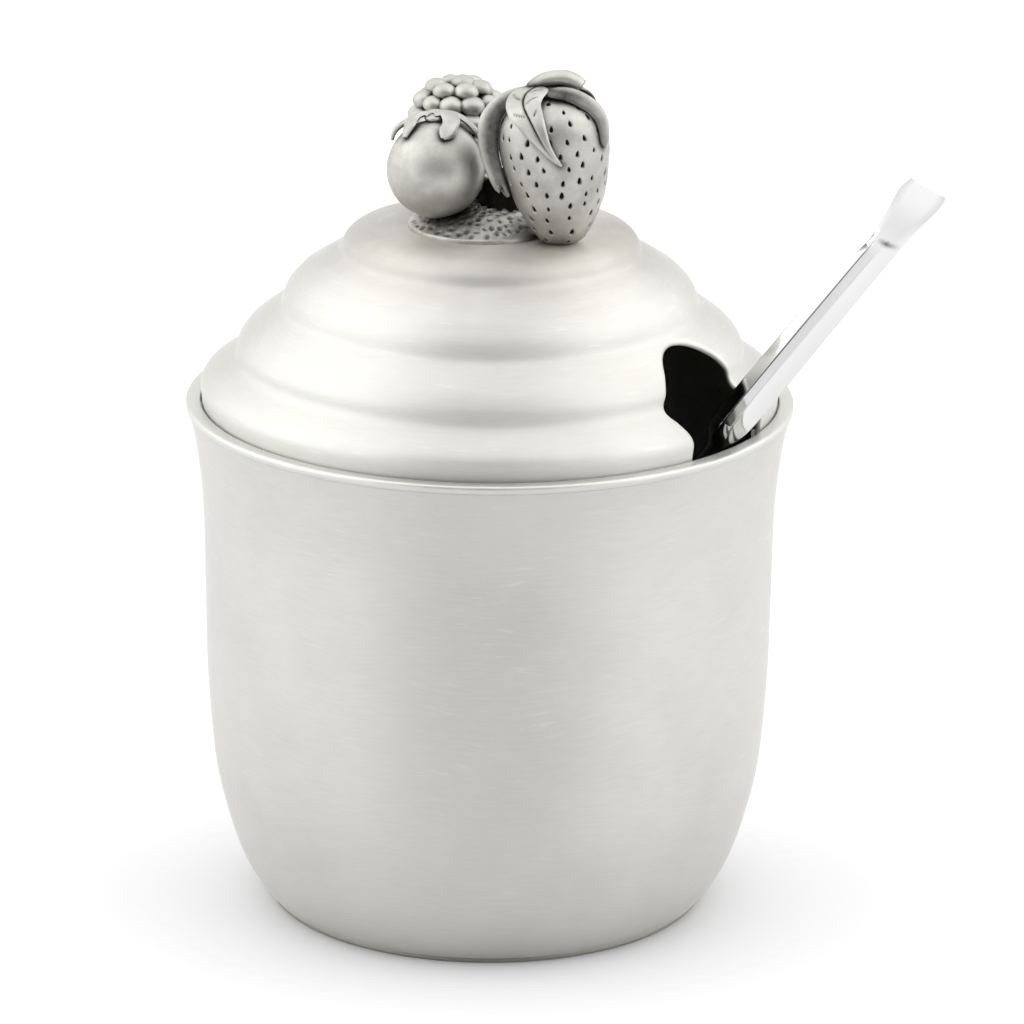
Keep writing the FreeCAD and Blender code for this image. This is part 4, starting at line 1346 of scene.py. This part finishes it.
        def ring(reach: float, lift: float, inset: float) -> list[int]:
            """A ring of the dish: its share of the full outline, its lift and its inset."""
            made = []
            for t in turns:
                egg = 1.0 + 0.05 * math.cos(t)
                u = (self.bowl_a - inset) * reach * math.cos(t)
                w = (self.bowl_b - inset) * reach * math.sin(t) * egg * 0.95
                depth = -self.bowl_c * (1.0 - reach ** 2.3)
                made.append(origin + along * (self.bowl_u + u) + wide * w + out * (depth + lift))
            return draft.row(made)

        outer = [ring(s, 0.0, 0.0) for s in np.linspace(0.04, 1.0, 26)]
        lip = [ring(1.0, 0.18, 0.02), ring(0.985, 0.42, 0.05)]
        inner = [ring(s, 0.45 + (self.sheet - 0.45) * ease(1 - s, 0.0, 0.12), 0.35)
                 for s in np.linspace(0.965, 0.04, 26)]
        low = draft.point(self.place(self.bowl_u, 0.0, -self.bowl_c))
        high = draft.point(self.place(self.bowl_u, 0.0, -self.bowl_c + self.sheet))
        draft.skin([[low]] + outer + lip + inner + [[high]], closed=True)
        return draft.build("spoon_bowl_dish", crease=60.0)


@dataclass(frozen=True)
class Studio:
    """A white sweep under soft, even light, and the camera."""

    pitch: float = 17.794  # degrees above the horizon
    roll: float = 0.522  # degrees
    distance: float = 0.89598  # metres, as the other places here
    target: tuple[float, float, float] = (0.003435, 0.0, 0.059161)
    lens: float = 211.4  # millimetres, as the sensor
    sensor: float = 36.0
    far: float = 20.0
    floor_half: float = 4.0
    box_place: tuple[float, float, float] = (0.0, 0.10, 1.10)
    box_size: float = 1.0
    box_power: float = 0.5  # watts

    def build(self) -> None:
        """Set up the floor, the light and the camera."""
        self.make_floor()
        self.make_world()
        self.make_lights()
        self.make_camera()
        settings = bpy.context.scene.view_settings
        settings.view_transform = "Standard"
        settings.look = "None"

    def make_floor(self) -> None:
        """Lay a plain pale floor."""
        mesh = bpy.data.meshes.new("white_floor")
        s = self.floor_half
        mesh.from_pydata([(-s, -s, 0.0), (s, -s, 0.0), (s, s, 0.0), (-s, s, 0.0)], [], [(0, 1, 2, 3)])
        floor = link("white_floor", mesh)
        paper = bpy.data.materials.new("white_paper_matt")
        paper.use_nodes = True
        shader = paper.node_tree.nodes["Principled BSDF"]
        shader.inputs["Base Color"].default_value = linear("E6E6E7")
        shader.inputs["Roughness"].default_value = 0.9
        shader.inputs["Specular IOR Level"].default_value = 0.1
        mesh.materials.append(paper)

    def make_world(self) -> None:
        """Light from all round: brighter above and at the sides, darker behind the camera."""
        world = bpy.data.worlds.new("soft_box")
        bpy.context.scene.world = world
        world.use_nodes = True
        tree = world.node_tree
        tree.nodes.clear()
        place = add_node(tree, "ShaderNodeTexCoord")
        split = add_node(tree, "ShaderNodeSeparateXYZ", links={0: place.outputs["Generated"]})
        above = add_node(tree, "ShaderNodeMapRange", {"interpolation_type": "SMOOTHSTEP"}, {
            "Value": split.outputs[2], "From Min": 0.1, "From Max": 0.9, "To Min": 1.04, "To Max": 1.50})
        front = add_node(tree, "ShaderNodeMapRange", {"interpolation_type": "SMOOTHSTEP"}, {
            "Value": split.outputs[1], "From Min": -1.0, "From Max": -0.50, "To Min": 0.10, "To Max": 1.0})
        beside = add_node(tree, "ShaderNodeMath", {"operation": "ABSOLUTE"}, {0: split.outputs[0]})
        sides = add_node(tree, "ShaderNodeMapRange", {"interpolation_type": "SMOOTHSTEP"}, {
            "Value": beside.outputs[0], "From Min": 0.30, "From Max": 1.0, "To Min": 1.0, "To Max": 1.75})
        shaped = add_node(tree, "ShaderNodeMath", {"operation": "MULTIPLY"}, {
            0: above.outputs[0], 1: front.outputs[0]})
        level = add_node(tree, "ShaderNodeMath", {"operation": "MULTIPLY"}, {
            0: shaped.outputs[0], 1: sides.outputs[0]})
        glow = add_node(tree, "ShaderNodeBackground", links={
            "Color": linear("FFFFFF"), "Strength": level.outputs[0]})
        add_node(tree, "ShaderNodeOutputWorld", links={0: glow.outputs[0]})

    def make_lights(self) -> None:
        """Hang one large soft box above."""
        lamp = bpy.data.lights.new("top_soft_box", "AREA")
        lamp.shape, lamp.size, lamp.energy = "SQUARE", self.box_size, self.box_power
        holder = link("top_soft_box", lamp)
        holder.location = self.box_place
        aim = Vector(self.target) - Vector(self.box_place)
        holder.rotation_euler = aim.to_track_quat("-Z", "Y").to_euler()

    def make_camera(self) -> None:
        """Stand the camera in front, a little above the rim."""
        pitch, roll = math.radians(self.pitch), math.radians(self.roll)
        back = Vector((0.0, -math.cos(pitch), math.sin(pitch)))
        right = Vector((1.0, 0.0, 0.0))
        up = right.cross(-back)
        turned_right = right * math.cos(roll) + up * math.sin(roll)
        turned_up = -right * math.sin(roll) + up * math.cos(roll)
        lens = bpy.data.cameras.new("camera")
        lens.lens, lens.sensor_width, lens.clip_end = self.lens, self.sensor, self.far
        camera = link("camera", lens)
        turn = Matrix((turned_right, turned_up, back)).transposed().to_4x4()
        camera.matrix_world = Matrix.Translation(Vector(self.target) + back * self.distance) @ turn
        bpy.context.scene.camera = camera


def main() -> None:
    """Build the whole object in order."""
    logging.basicConfig(level=logging.INFO, format="%(message)s")
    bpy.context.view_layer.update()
    Studio().build()
    Bowl().build()
    Lid().build()
    FruitKnob().build()
    Spoon().build()
    bpy.context.view_layer.update()


if __name__ == "__main__":
    main()
